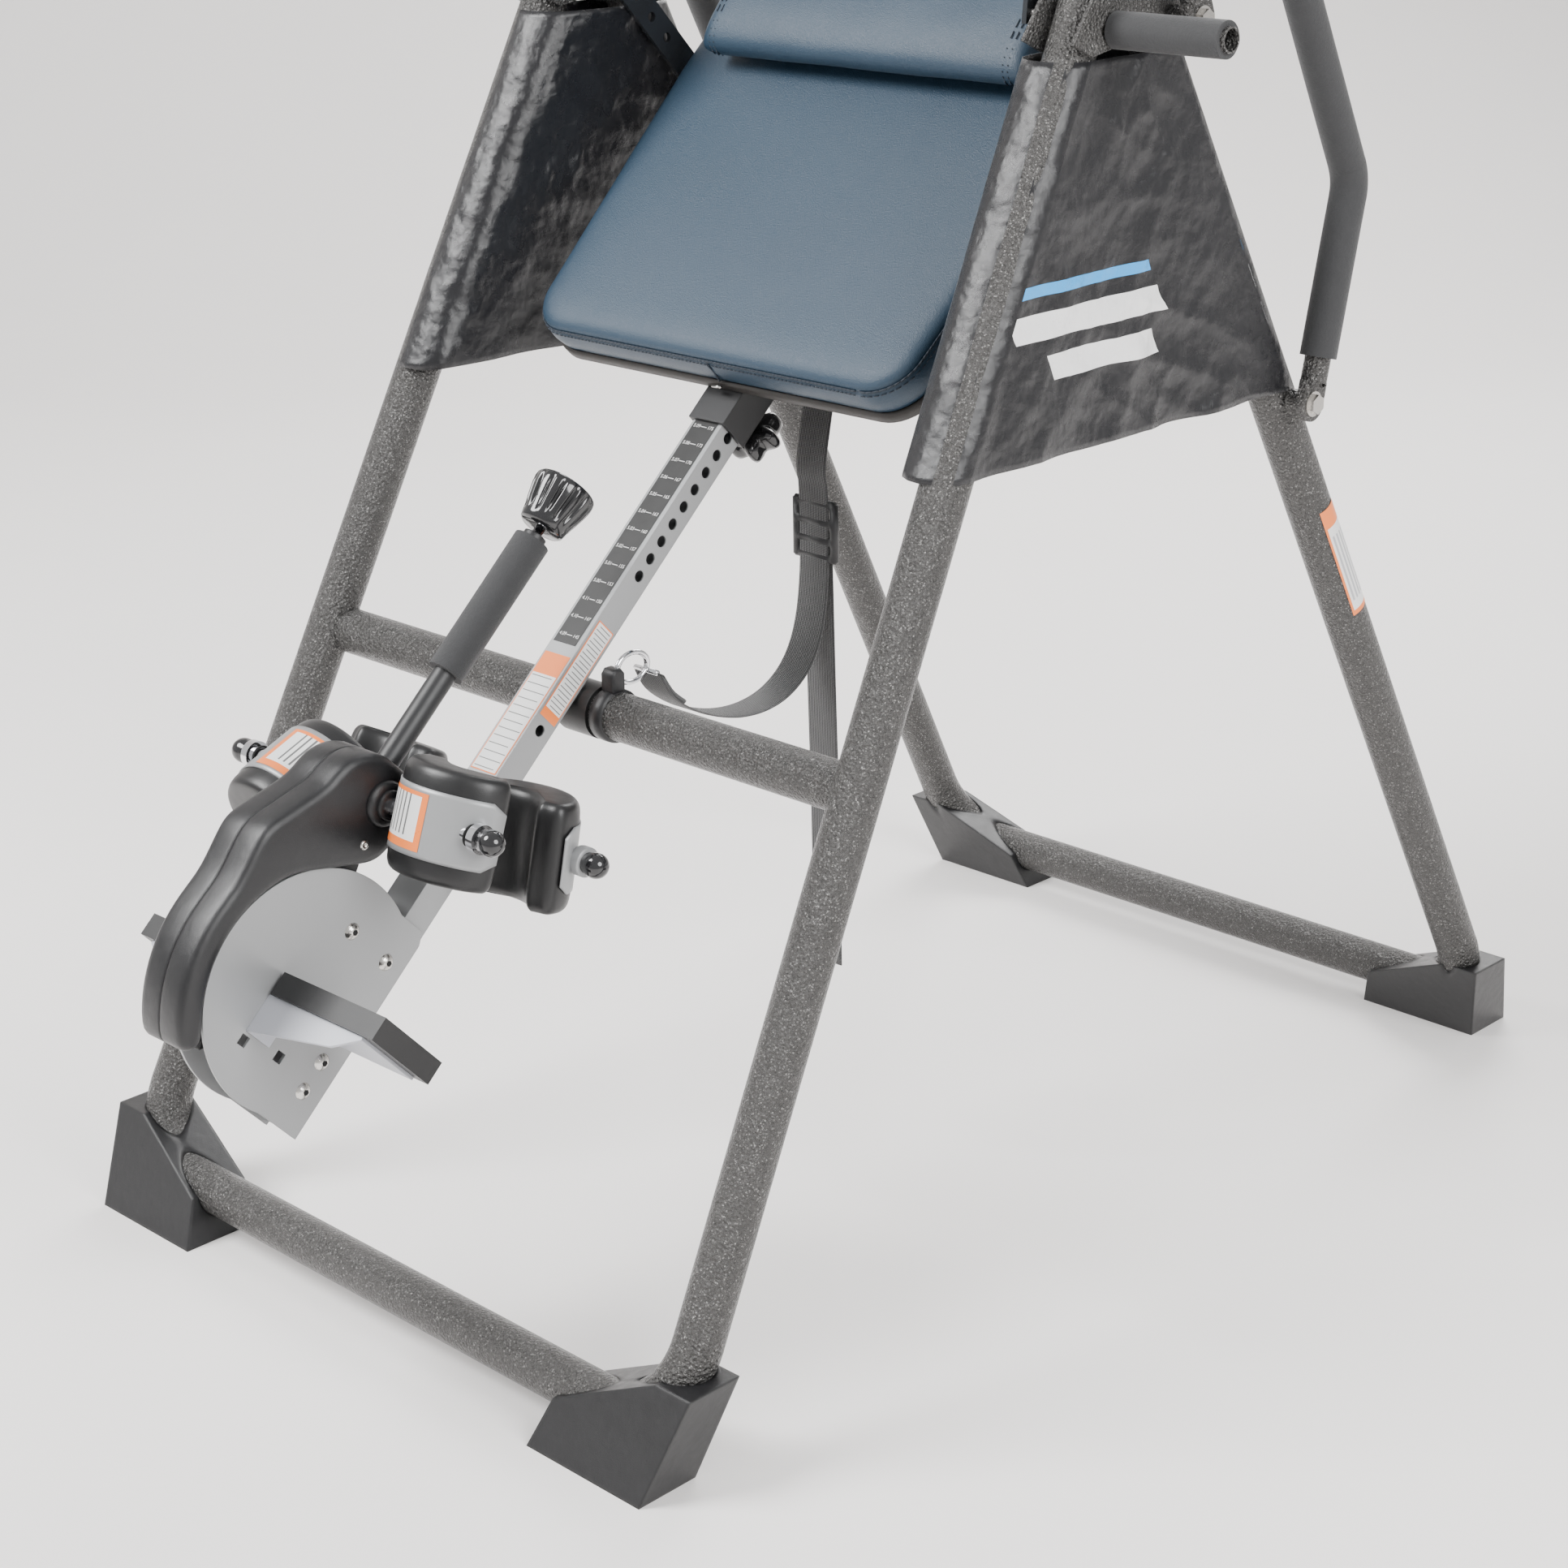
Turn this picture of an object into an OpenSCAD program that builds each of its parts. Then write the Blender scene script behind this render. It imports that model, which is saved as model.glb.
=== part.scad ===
// Folding inversion table on an A-frame, millimetres, +Z up, ankle end towards -Y.
// The floor is Z = 0 and the bed turns about an axis along X.

/* [Frame] */
// Outside diameter of the leg and floor tubes
leg_d = 45; // [40:1:50]
// Wall of the leg and floor tubes
leg_wall = 1.8; // [1.5:0.1:2.5]
// Height of the point where the front legs' line meets Y = 0
apex_z = 1225; // [1180:5:1260]
// Height of the floor tubes' centre lines
floor_tube_z = 42; // [36:1:50]
// Front floor tube, distance in front of the apex
front_reach = 600; // [560:5:640]
// Rear floor tube, distance behind the apex
rear_reach = 630; // [600:5:660]
// Half of the distance between the legs' centre lines at the top
top_half = 333; // [325:1:345]
// Outward splay of each leg within its frame's plane, in degrees
leg_splay = 2.07; // [1:0.01:3]
// Centre-line radius of the bent corners
corner_r = 78; // [60:1:100]
// Height of the front crossbar
crossbar_z = 545; // [520:5:580]
// Set-back of the crossbar behind the front legs' centre plane
crossbar_back = 12; // [0:1:16]
// Fold hinge of the rear frame, behind the apex
hinge_y = 34; // [30:1:40]
// Fold hinge of the rear frame, height
hinge_z = 1180; // [1170:1:1190]

/* [Bed] */
// Bed pivot, Y
pivot_y = -10; // [-20:1:0]
// Bed pivot, height
pivot_z = 1165; // [1150:1:1180]
// Angle of the bed above the horizontal at rest
bed_angle = 42.5; // [40:0.5:46]
// Foot end of the pad, along the bed from the pivot
pad_foot = -340; // [-360:5:-320]
// Head end of the pad, along the bed from the pivot
pad_head = 700; // [640:5:740]
// Half width of the pad at its foot end
pad_foot_half = 246; // [230:1:250]
// Half width of the pad beside the pivot
pad_half = 264; // [255:1:268]
// Thickness of the pad's foam and cover
pad_t = 43; // [35:1:50]
// Thickness of the board under the pad
board_t = 12; // [9:1:15]

/* [Adjustment tube] */
// Width of the adjustment tube across the bed
tube_w = 38; // [36:1:40]
// Depth of the adjustment tube, normal to the bed
tube_h = 30; // [28:1:34]
// Wall of the adjustment tube
tube_wall = 2; // [1.5:0.1:2.5]
// Pitch of the height holes
hole_pitch = 20; // [18:0.5:22]
// Diameter of the height holes
hole_d = 11; // [10:0.5:12]
// Foot end of the adjustment tube, along the bed from the pivot
tube_foot = -1136; // [-1145:1:-1130]

/* [Ankle clamp] */
// Clamp pivot bolt, along the bed from the pivot
clamp_u = -1031; // [-1040:1:-1020]
// Radius of the round side plates
plate_r = 112; // [105:1:118]
// Front ankle rod, along the bed from the pivot
front_rod_u = -863; // [-870:1:-855]
// Rear ankle rod, along the bed from the pivot
rear_rod_u = -815; // [-820:1:-805]
// Half length of the ankle rods
rod_half = 172; // [165:1:180]
// Diameter of the ankle rods
rod_d = 16; // [14:1:18]
// Largest diameter of an ankle cushion
cushion_d = 102; // [94:1:106]
// Length of an ankle cushion
cushion_l = 112; // [100:1:118]

/* [Hidden] */
$fn = 48;
front_lean = atan(front_reach / (apex_z - floor_tube_z));
front_len = (apex_z - floor_tube_z) / cos(front_lean);
rear_lean = atan((rear_reach - hinge_y) / (hinge_z - floor_tube_z));
rear_len = (hinge_z - floor_tube_z) / cos(rear_lean);
leg_r = leg_d / 2;
bed_u = [cos(bed_angle), sin(bed_angle)];
bed_w = [-sin(bed_angle), cos(bed_angle)];
pad_gap = 0.3;
footprint_shift = 69.15;

// crossbar centre in the YZ plane, and the tube's depth below the pivot that rests on its bumper
bumper_t = 4;
crossbar_yz = [
    -(apex_z - crossbar_z) * tan(front_lean) + crossbar_back * cos(front_lean),
    crossbar_z - crossbar_back * sin(front_lean)
];
stop_gap = leg_r + bumper_t + tube_h / 2 + pad_gap;
tube_at = (crossbar_yz - [pivot_y, pivot_z]) * bed_w + stop_gap;
stop_u = (crossbar_yz - [pivot_y, pivot_z]) * bed_u;

// layers of the bed, measured along its normal from the pivot
sleeve_w = tube_w + 8;
sleeve_h = tube_h + 8;
sleeve_top = tube_at + sleeve_h / 2;
board_at = sleeve_top + 1;
pad_at = board_at + board_t + pad_gap;
pad_top = pad_at + pad_t;
sleeve_foot = -376;
sleeve_head = -60;
pin_u = -300;
arm_x = 278;
arm_t = 5;
pin_r = 8;
pivot_pin_l = 24;
bracket_t = 4;
bracket_in = 307;
bracket_out = 361;

// ankle clamp, measured along the bed's normal from the pivot
clamp_w = tube_at + 63;
front_rod_w = tube_at + 117;
rear_rod_w = tube_at;
lever_w = tube_at + 115;
plate_t = 3;
plate_x = tube_w / 2 + 0.2;
palm_u = -572;
housing_half = 31;

// ---- shared helpers ----

// brings the middle of the footprint to Y = 0
module centred() {
    translate([0, footprint_shift, 0]) children();
}

// a copy on the right side, or the same mirrored to the left
module side(right) {
    mirror([right ? 0 : 1, 0, 0]) children();
}

// puts the XY plane into the YZ plane, with its normal along X
module in_yz(x = 0) {
    translate([x, 0, 0]) rotate([90, 0, 90]) children();
}

// bed space: X across, Y along the bed towards the head, Z out of the bed's face
module bed_space() {
    translate([0, pivot_y, pivot_z]) rotate([bed_angle, 0, 0]) children();
}

// bed space seen from the side, so that a drawing's XY is along and out of the bed
module bed_side(x = 0) {
    bed_space() in_yz(x) children();
}

// frame planes: X across, Z up along the legs
module front_plane() {
    translate([0, 0, apex_z]) rotate([-front_lean, 0, 0]) children();
}

module rear_plane() {
    translate([0, hinge_y, hinge_z]) rotate([rear_lean, 0, 0]) children();
}

module ring(r_out, r_in) {
    difference() {
        circle(r_out);
        if (r_in > 0) circle(r_in);
    }
}

module rod_x(x1, x2, r) {
    translate([x1, 0, 0]) rotate([0, 90, 0]) cylinder(r = r, h = x2 - x1);
}

function heading(a, b) = atan2(b[1] - a[1], b[0] - a[0]);
function turn(a, b, c) = let (t = heading(b, c) - heading(a, b))
    t > 180 ? t - 360 : t < -180 ? t + 360 : t;
function cut(pts, i, r) = (i == 0 || i == len(pts) - 1) ? 0
    : r * tan(abs(turn(pts[i - 1], pts[i], pts[i + 1])) / 2);
function arc(c, r, a1, a2, n = 12) = [
    for (i = [0:n]) c + r * [cos(a1 + (a2 - a1) * i / n), sin(a1 + (a2 - a1) * i / n)]
];
// a bent tube drawn in the XY plane along straight runs with rounded corners;
// each run is a hair slimmer than the bends and reaches into them
lap = 0.3;
step = 0.12;
module bent_tube(pts, r, r_out, r_in = 0) {
    for (i = [0:len(pts) - 2]) {
        a = heading(pts[i], pts[i + 1]);
        c1 = cut(pts, i, r);
        run = norm(pts[i + 1] - pts[i]) - c1 - cut(pts, i + 1, r);
        if (run > 0.1) translate(pts[i]) rotate([0, 0, a]) translate([c1 - lap, 0, 0])
            rotate([0, 90, 0]) linear_extrude(run + 2 * lap)
                ring(r_out - step, r_in > 0 ? r_in + step : 0);
    }
    for (i = [1:len(pts) - 2]) {
        a = heading(pts[i - 1], pts[i]);
        t = turn(pts[i - 1], pts[i], pts[i + 1]);
        s = sign(t);
        centre = pts[i] - cut(pts, i, r) * [cos(a), sin(a)] + s * r * [-sin(a), cos(a)];
        translate(centre) rotate([0, 0, s > 0 ? a - 90 : a + 90 + t])
            rotate_extrude(angle = abs(t)) translate([r, 0]) ring(r_out, r_in);
    }
}

// ---- frames ----

function corner_x(len, top_x) =
    top_x + len * tan(leg_splay) - corner_r * tan((90 + leg_splay) / 2);

module leg(len, top_x, start) {
    foot_x = top_x + len * tan(leg_splay);
    rotate([90, 0, 0]) bent_tube([
        [corner_x(len, top_x), -len],
        [foot_x, -len],
        [top_x + start * tan(leg_splay), -start]
    ], corner_r, leg_r, leg_r - leg_wall);
}

module floor_tube(len, top_x) {
    x = corner_x(len, top_x);
    translate([-x, 0, -len]) rotate([0, 90, 0])
        linear_extrude(2 * x) ring(leg_r, leg_r - leg_wall);
}

// solid tube path that shapes the seat in a foot cap
module foot_seat(len, top_x) {
    foot_x = top_x + len * tan(leg_splay);
    rotate([90, 0, 0]) bent_tube([
        [foot_x - 300, -len],
        [foot_x, -len],
        [foot_x - 300 * tan(leg_splay), -len + 300]
    ], corner_r, leg_r + 0.25);
}

front_leg_start = 62;
rear_leg_start = -26;
rear_top_x = top_half + (apex_z - hinge_z) / cos(front_lean) * tan(leg_splay);

leg_bolt_yz = [-40, 1146];
module front_leg() {
    color("dimgray") difference() {
        front_plane() leg(front_len, top_half, front_leg_start);
        // bore for the bolt through both bracket plates
        translate([0, leg_bolt_yz[0], leg_bolt_yz[1]]) rod_x(bracket_in, bracket_out, 4.05);
        // bore for the fold link's rivet
        translate([0, link_front_y, link_z]) rod_x(bracket_in, 326, 4.05);
    }
}

module rear_leg() {
    color("dimgray") difference() {
        rear_plane() leg(rear_len, rear_top_x, rear_leg_start);
        // bore for the fold hinge bolt
        translate([0, hinge_y, hinge_z]) rod_x(bracket_in, bracket_out, 6.05);
        // bore for the fold link's rivet
        translate([0, link_rear_y, link_z]) rod_x(bracket_in, 326, 4.05);
    }
}

module front_floor_tube() {
    color("dimgray") front_plane() floor_tube(front_len, top_half);
}

module rear_floor_tube() {
    color("dimgray") rear_plane() floor_tube(rear_len, rear_top_x);
}

module front_crossbar() {
    down = (apex_z - crossbar_z) / cos(front_lean);
    half = top_half + down * tan(leg_splay);
    color("dimgray") difference() {
        translate([-half, crossbar_yz[0], crossbar_yz[1]]) rotate([0, 90, 0])
            linear_extrude(2 * half) ring(leg_r, leg_r - leg_wall);
        for (right = [true, false]) side(right)
            front_plane() translate([top_half, 0, 0])
                rotate([0, 180 - leg_splay, 0]) cylinder(r = leg_r, h = front_len);
    }
}

// moulded foot: a sloped block under each corner, with the tube seated in it
module foot(lean_dir, reach, len, top_x) {
    slope = lean_dir * 0.42;
    color("black") difference() {
        intersection() {
            translate([0, reach + 120, 0]) rotate([90, 0, 0]) linear_extrude(240)
                polygon([[250, 0], [392, 0], [413, 92], [372, 92], [322, 70], [264, 44]]);
            in_yz(240) linear_extrude(180)
                polygon([
                    [reach - 33, 0],
                    [reach + 33, 0],
                    [reach + 29 - slope * 92, 92],
                    [reach - 29 - slope * 92, 92]
                ]);
        }
        children();
    }
}

module front_foot() {
    foot(-1, -front_reach - 17, front_len, top_half)
        front_plane() foot_seat(front_len, top_half);
}

module rear_foot() {
    foot(1, rear_reach + 17, rear_len, rear_top_x)
        rear_plane() foot_seat(rear_len, rear_top_x);
}

bracket_outline = [
    [-80, 1138], [-54, 1126], [-6, 1134], [50, 1126], [82, 1136],
    [66, 1186], [48, 1206], [20, 1216], [-34, 1200], [-60, 1166]
];
grip_y = -26;
grip_z = 1146;
grip_tube_l = 122;

// two plates that hold the front leg, the rear leg's hinge bolt and the bed's cradle
module apex_bracket() {
    color("dimgray") {
        difference() {
            union() {
                for (x = [bracket_in, bracket_out])
                    in_yz(x) linear_extrude(bracket_t) polygon(bracket_outline);
                // cradle for the bed's pivot pin
                in_yz(bracket_in - 21) linear_extrude(21) polygon([
                    [pivot_y - 20, pivot_z - 20], [pivot_y + 20, pivot_z - 20],
                    [pivot_y + 20, pivot_z + 14], [pivot_y - 20, pivot_z + 14]
                ]);
            }
            translate([0, hinge_y, hinge_z])
                rod_x(bracket_in - 1, bracket_out + bracket_t + 1, 6.05);
            translate([0, leg_bolt_yz[0], leg_bolt_yz[1]])
                rod_x(bracket_in - 1, bracket_out + bracket_t + 1, 4.05);
            translate([0, pivot_y, pivot_z]) {
                rod_x(bracket_in - 22, bracket_in, pin_r + 0.06);
                translate([bracket_in - 22, -pin_r - 0.06, 0])
                    cube([22, 2 * pin_r + 0.12, 30]);
            }
        }
        // stub tube for the side grip
        translate([0, grip_y, grip_z]) tube_x(bracket_out + bracket_t, grip_tube_l, 11, 9.4);
        // spacer that ties the two plates together above the front leg
        translate([0, -24, 1189]) rod_x(bracket_in + 1, bracket_out + 1, 8);
    }
}

module tube_x(x, l, r_out, r_in) {
    translate([x, 0, 0]) rotate([0, 90, 0]) linear_extrude(l) ring(r_out, r_in);
}

module side_grips() {
    color("black") for (right = [true, false]) side(right)
        translate([0, grip_y, grip_z])
            tube_x(bracket_out + bracket_t + 2, grip_tube_l - 6, 16, 11);
}

// spring latch that closes the cradle over the pivot pin, with a ball knob
latch_y = pivot_y - 34;
latch_z = pivot_z - 8;
latch_x = bracket_in - 14;
module pivot_latch() {
    color("gray") {
        difference() {
            in_yz(latch_x - 8) linear_extrude(5) polygon([
                [latch_y - 9, latch_z - 9], [latch_y + 9, latch_z - 9],
                [latch_y + 10, latch_z + 25], [pivot_y - 2, pivot_z + 19],
                [pivot_y + 14, pivot_z + 17], [pivot_y + 16, pivot_z + 29],
                [pivot_y - 6, pivot_z + 34], [latch_y - 5, latch_z + 30]
            ]);
            translate([0, latch_y, latch_z]) rod_x(latch_x - 9, latch_x, 4.05);
        }
    }
    color("black") translate([latch_x - 5.5, pivot_y - 4, pivot_z + 29]) {
        cylinder(r = 4, h = 14);
        translate([0, 0, 24]) sphere(r = 12.5);
    }
}

module bumper() {
    color("black") translate([0, crossbar_yz[0], crossbar_yz[1]]) {
        difference() {
            union() {
                rod_x(-6, 34, leg_r + 3);
                // domed pad that the adjustment tube rests against
                translate([4, 0, 0]) rotate([bed_angle, 0, 0])
                    cylinder(r = 16, h = leg_r + bumper_t);
            }
            rod_x(-60, 60, leg_r);
        }
    }
}

module tether_ring() {
    color("silver") translate([46, crossbar_yz[0], crossbar_yz[1]]) {
        // lug round the crossbar
        difference() {
            union() {
                rod_x(-8, 8, leg_r + 3);
                translate([-8, -9, leg_r - 2]) cube([16, 18, 24]);
            }
            rod_x(-20, 20, leg_r);
            translate([0, 0, leg_r + 14]) rod_x(-20, 20, 5);
        }
        // snap ring through the lug
        translate([0, 16, leg_r + 20]) rotate([90, 0, 90])
            rotate_extrude() translate([17, 0]) circle(2.5);
    }
}

// ---- side covers and fold links ----

cover_tilt = atan(tan(leg_splay) / cos(front_lean));
cover_outline = [[-83, 1122], [101, 1122], [274, 800], [-256, 784]];
cover_inner = [[-81, 1123], [98.5, 1123], [284, 777], [-257, 777]];
cover_in = 46;
cover_out = 24.5;
cover_t = 1.2;
module side_cover() {
    color([0.12, 0.12, 0.14]) translate([top_half, 0, apex_z]) rotate([0, -cover_tilt, 0])
        translate([-top_half, 0, -apex_z]) difference() {
            in_yz(top_half - cover_in) linear_extrude(cover_in + cover_out)
                polygon(cover_outline);
            in_yz(top_half - cover_in + cover_t)
                linear_extrude(cover_in + cover_out - 2 * cover_t) polygon(cover_inner);
        }
}

link_z = 930;
link_w = 22;
link_t = 3;
link_front_x = 306.5;
link_rear_x = 302;
link_front_y = -(apex_z - link_z) * tan(front_lean);
link_rear_y = hinge_y + (hinge_z - link_z) * tan(rear_lean);
link_mid_y = (link_front_y + link_rear_y) / 2;

module flat_link(x, y1, y2) {
    difference() {
        in_yz(x) linear_extrude(link_t) hull_bar(y1, y2);
        for (y = [y1, y2]) translate([0, y, link_z]) rod_x(x - 1, x + link_t + 1, 4.05);
    }
}

module hull_bar(y1, y2) {
    translate([y1, link_z - link_w / 2]) square([y2 - y1, link_w]);
    for (y = [y1, y2]) translate([y, link_z]) circle(link_w / 2);
}

module fold_links_front() {
    color("dimgray") for (right = [true, false]) side(right)
        flat_link(link_front_x, link_front_y, link_mid_y);
}

module fold_links_rear() {
    color("dimgray") for (right = [true, false]) side(right)
        flat_link(link_rear_x, link_mid_y, link_rear_y);
}

// hex head, shank and nut of a through bolt along X
module hex_bolt(x1, x2, r, head = 5) {
    rod_x(x1, x2, r);
    translate([x2, 0, 0]) rotate([0, 90, 0]) cylinder(r = r * 1.9, h = head, $fn = 6);
    translate([x1 - head, 0, 0]) rotate([0, 90, 0]) cylinder(r = r * 1.9, h = head, $fn = 6);
}

module hinge_bolts() {
    color("silver") for (right = [true, false]) side(right) {
        translate([0, hinge_y, hinge_z]) hex_bolt(bracket_in, bracket_out + bracket_t, 6);
        translate([0, leg_bolt_yz[0], leg_bolt_yz[1]])
            rod_x(bracket_in, bracket_out + bracket_t, 4);
        translate([0, latch_y, latch_z]) rod_x(latch_x - 8.5, bracket_in, 4);
        translate([0, link_front_y, link_z]) rod_x(link_front_x - 1, 325, 4);
    }
}

// ---- handlebars ----

bar_x = 396;
bar_path = [[240, 782], [290, 985], [4, 1529], [-88, 1484], [50, 1150]];
foam_path = [
    bar_path[0] + 44 * (bar_path[1] - bar_path[0]) / norm(bar_path[1] - bar_path[0]),
    bar_path[1], bar_path[2], bar_path[3],
    bar_path[4] + 60 * (bar_path[3] - bar_path[4]) / norm(bar_path[3] - bar_path[4])
];
bar_bend = 44;

module handlebar() {
    color("dimgray") {
        in_yz(bar_x) difference() {
            bent_tube(bar_path, bar_bend, 12.5, 10.9);
            // room for the flattened ends
            for (p = [bar_path[0], bar_path[4]]) translate([p[0], p[1], -14])
                cylinder(r = 20, h = 28);
        }
        for (i = [0, 4]) bar_end(i);
    }
}

// flattened end of the handlebar with its bolt hole and spacer
module bar_end(i) {
    p = bar_path[i];
    q = bar_path[i == 0 ? 1 : 3];
    a = heading(p, q);
    x_in = i == 0 ? 375.8 : 366;
    difference() {
        union() {
            in_yz(bar_x - 4) translate(p) rotate([0, 0, a]) linear_extrude(8) {
                circle(17);
                translate([0, -17]) square([21, 34]);
            }
            translate([0, p[0], p[1]]) rod_x(x_in, bar_x - 4, 11);
        }
        translate([0, p[0], p[1]]) rod_x(x_in - 1, bar_x + 8, 5.05);
    }
}

module handlebar_foam() {
    color([0.1, 0.1, 0.1]) in_yz(bar_x) bent_tube(foam_path, bar_bend, 17.5, 12.55);
}

module handlebar_bolts() {
    color("silver") for (right = [true, false]) side(right) {
        for (i = [0, 4]) translate([0, bar_path[i][0], bar_path[i][1]]) {
            rod_x(i == 0 ? 377 : 367, bar_x + 4, 5);
            translate([bar_x + 4, 0, 0]) rotate([0, 90, 0]) cylinder(r = 9.5, h = 6.5, $fn = 6);
            rod_x(bar_x + 4, bar_x + 5.5, 12);
        }
        translate([0, link_rear_y, link_z]) rod_x(link_rear_x - 0.4, 325, 4);
    }
}

// ---- bed ----

// plan of the bed: narrow foot end, straight sides and round corners
function pad_plan(inset) = let (
    f = pad_foot_half - inset, s = pad_half - inset, r = 46 - inset, h = 80 - inset,
    y0 = pad_foot + inset, y1 = pad_head - inset, ys = -20
) concat(
    arc([f - r, y0 + r], r, -90, 0, 8),
    [[s, ys]],
    arc([s - h, y1 - h], h, 0, 90, 10),
    arc([-s + h, y1 - h], h, 90, 180, 10),
    [[-s, ys]],
    arc([-f + r, y0 + r], r, 180, 270, 8)
);

module bed_pad() {
    color([0.15, 0.25, 0.35]) bed_space() translate([0, 0, pad_at])
        linear_extrude(pad_t) polygon(pad_plan(0));
}

module bed_board() {
    color([0.08, 0.08, 0.08]) bed_space() translate([0, 0, board_at])
        linear_extrude(board_t) polygon(pad_plan(4));
}

pillow_foot = -18;
pillow_l = 190;
pillow_half = 208;
pillow_t = 56;

// rolled lumbar cushion with a flat underside
module lumbar_pillow() {
    color([0.17, 0.27, 0.37]) bed_space() translate([0, 0, pad_top + pad_gap])
        translate([-pillow_half, 0, 0]) rotate([90, 0, 90]) linear_extrude(2 * pillow_half)
            polygon(concat(
                arc([pillow_foot + 22, pillow_t - 22], 22, 180, 100, 6),
                arc([pillow_foot + pillow_l - 22, pillow_t - 22], 22, 80, 0, 6),
                [[pillow_foot + pillow_l - 6, 0], [pillow_foot + 6, 0]]
            ));
}

rail_s = 25;
rail_x = 150;
rail_at = board_at - 0.2 - rail_s;
module box_tube(size, wall) {
    difference() {
        cube(size);
        for (axis = [0, 1]) if (size[axis] > rail_s + 1 && size[axis] == max(size))
            translate([
                axis == 0 ? -1 : wall,
                axis == 1 ? -1 : wall,
                wall
            ]) cube([
                axis == 0 ? size[0] + 2 : size[0] - 2 * wall,
                axis == 1 ? size[1] + 2 : size[1] - 2 * wall,
                size[2] - 2 * wall
            ]);
    }
}

// steel frame under the board: two side rails and three cross rails round the sleeve
module bed_frame() {
    color("black") bed_space() {
        for (sx = [-1, 1]) translate([sx * rail_x - rail_s / 2, -270, rail_at])
            box_tube([rail_s, 880, rail_s], 1.5);
        for (u = [-240, -14, 540]) difference() {
            half = u == -14 ? arm_x : rail_x - rail_s / 2;
            translate([-half, u, rail_at]) cube([2 * half, 28, rail_s - 0.01]);
            translate([-half - 1, u + 1.5, rail_at + 1.5])
                cube([2 * half + 2, 25, rail_s - 3]);
            translate([-sleeve_w / 2, sleeve_foot, tube_at - sleeve_h / 2])
                cube([sleeve_w, sleeve_head - sleeve_foot, sleeve_h]);
            if (u == -14) for (sx = [-1, 1])
                translate([sx * rail_x - rail_s / 2, -20, rail_at - 1])
                    cube([rail_s, 50, rail_s + 2]);
        }
    }
}

// flat arm that hangs the bed from its pivot pin, with spare holes
module pivot_arm() {
    color("silver") bed_space() {
        difference() {
            in_yz(arm_x) linear_extrude(arm_t) {
                translate([-15, rail_at]) square([30, -rail_at]);
                circle(15);
            }
            for (w = [-46, -76, -106]) translate([0, 0, w]) rod_x(arm_x - 1, arm_x + 6, 5);
        }
        rod_x(arm_x + arm_t, arm_x + arm_t + pivot_pin_l - 2, pin_r);
        rod_x(arm_x + arm_t, arm_x + arm_t + 2, 13);
    }
}

// square sleeve that the adjustment tube slides in, with the pin's barrel and knob's boss
module adjustment_sleeve() {
    color([0.1, 0.1, 0.1]) bed_space() difference() {
        union() {
            translate([-sleeve_w / 2, sleeve_foot, tube_at - sleeve_h / 2])
                cube([sleeve_w, sleeve_head - sleeve_foot, sleeve_h]);
            translate([0, pin_u, tube_at]) rod_x(sleeve_w / 2, 84, 9);
            translate([0, -346, tube_at - sleeve_h / 2 - 10]) cylinder(r = 10, h = 10);
        }
        translate([-tube_w / 2 - 0.3, sleeve_foot - 1, tube_at - tube_h / 2 - 0.3])
            cube([tube_w + 0.6, sleeve_head - sleeve_foot + 2, tube_h + 0.6]);
        translate([0, pin_u, tube_at]) rod_x(tube_w / 2, 90, 4.55);
        translate([0, -346, tube_at - sleeve_h / 2 - 12]) cylinder(r = 4.05, h = 18);
    }
}

module pull_pin() {
    color("silver") bed_space() translate([0, pin_u, tube_at]) {
        rod_x(tube_w / 2 - 6, 84.5, 4.5);
        rod_x(84.5, 106, 11);
        rod_x(106, 126, 6);
        translate([135, 0, 0]) sphere(r = 14);
    }
}

knob_top = tube_at - sleeve_h / 2 - 14;
// lobed hand knob whose stem presses on the adjustment tube
module clamp_knob() {
    color([0.06, 0.06, 0.06]) bed_space() translate([0, -346, 0]) {
        translate([0, 0, knob_top - 24]) difference() {
            cylinder(r = 27, h = 24);
            for (a = [0:60:300]) rotate([0, 0, a]) translate([31, 0, -1])
                cylinder(r = 10, h = 26);
        }
        translate([0, 0, knob_top]) cylinder(r = 4, h = tube_at - tube_h / 2 - 0.4 - knob_top);
    }
}

strap_x = 47;
strap_w = 38;
strap_t = 2;
loop_u = -286;
loop_at = tube_at - 34;
// bent wire that the tether strap is threaded on
module strap_loop() {
    color("silver") bed_space() {
        for (x = [strap_x - 20.5, strap_x + 22]) translate([x, loop_u, loop_at])
            cylinder(r = 3, h = 34);
        translate([0, loop_u, loop_at]) rod_x(strap_x - 23.5, strap_x + 25, 3);
        translate([0, loop_u, tube_at]) rod_x(sleeve_w / 2, strap_x + 25, 3);
    }
}

// the loop bar's place in the YZ plane
loop_yz = [pivot_y, pivot_z] + loop_u * bed_u + loop_at * bed_w;
// hook end, hanging belly and buckle of the strap, from the ring on the crossbar upwards
strap_route = [
    [-292, 572], [-278, 548], [-252, 528], [-222, 514], [-190, 505], [-158, 503],
    [-128, 509], [-103, 524], [-86, 546], [-76, 574], [-71, 606], [-69, 640],
    [-69, 672], [-70, 702], [-72, 728], [loop_yz[0] + 4.2, loop_yz[1] - 4]
];
// free end, hanging from the buckle
tail_route = [
    [-64.5, 660], [-63.5, 610], [-62, 540], [-60, 460], [-58, 380], [-57, 300], [-56, 205]
];

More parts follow.
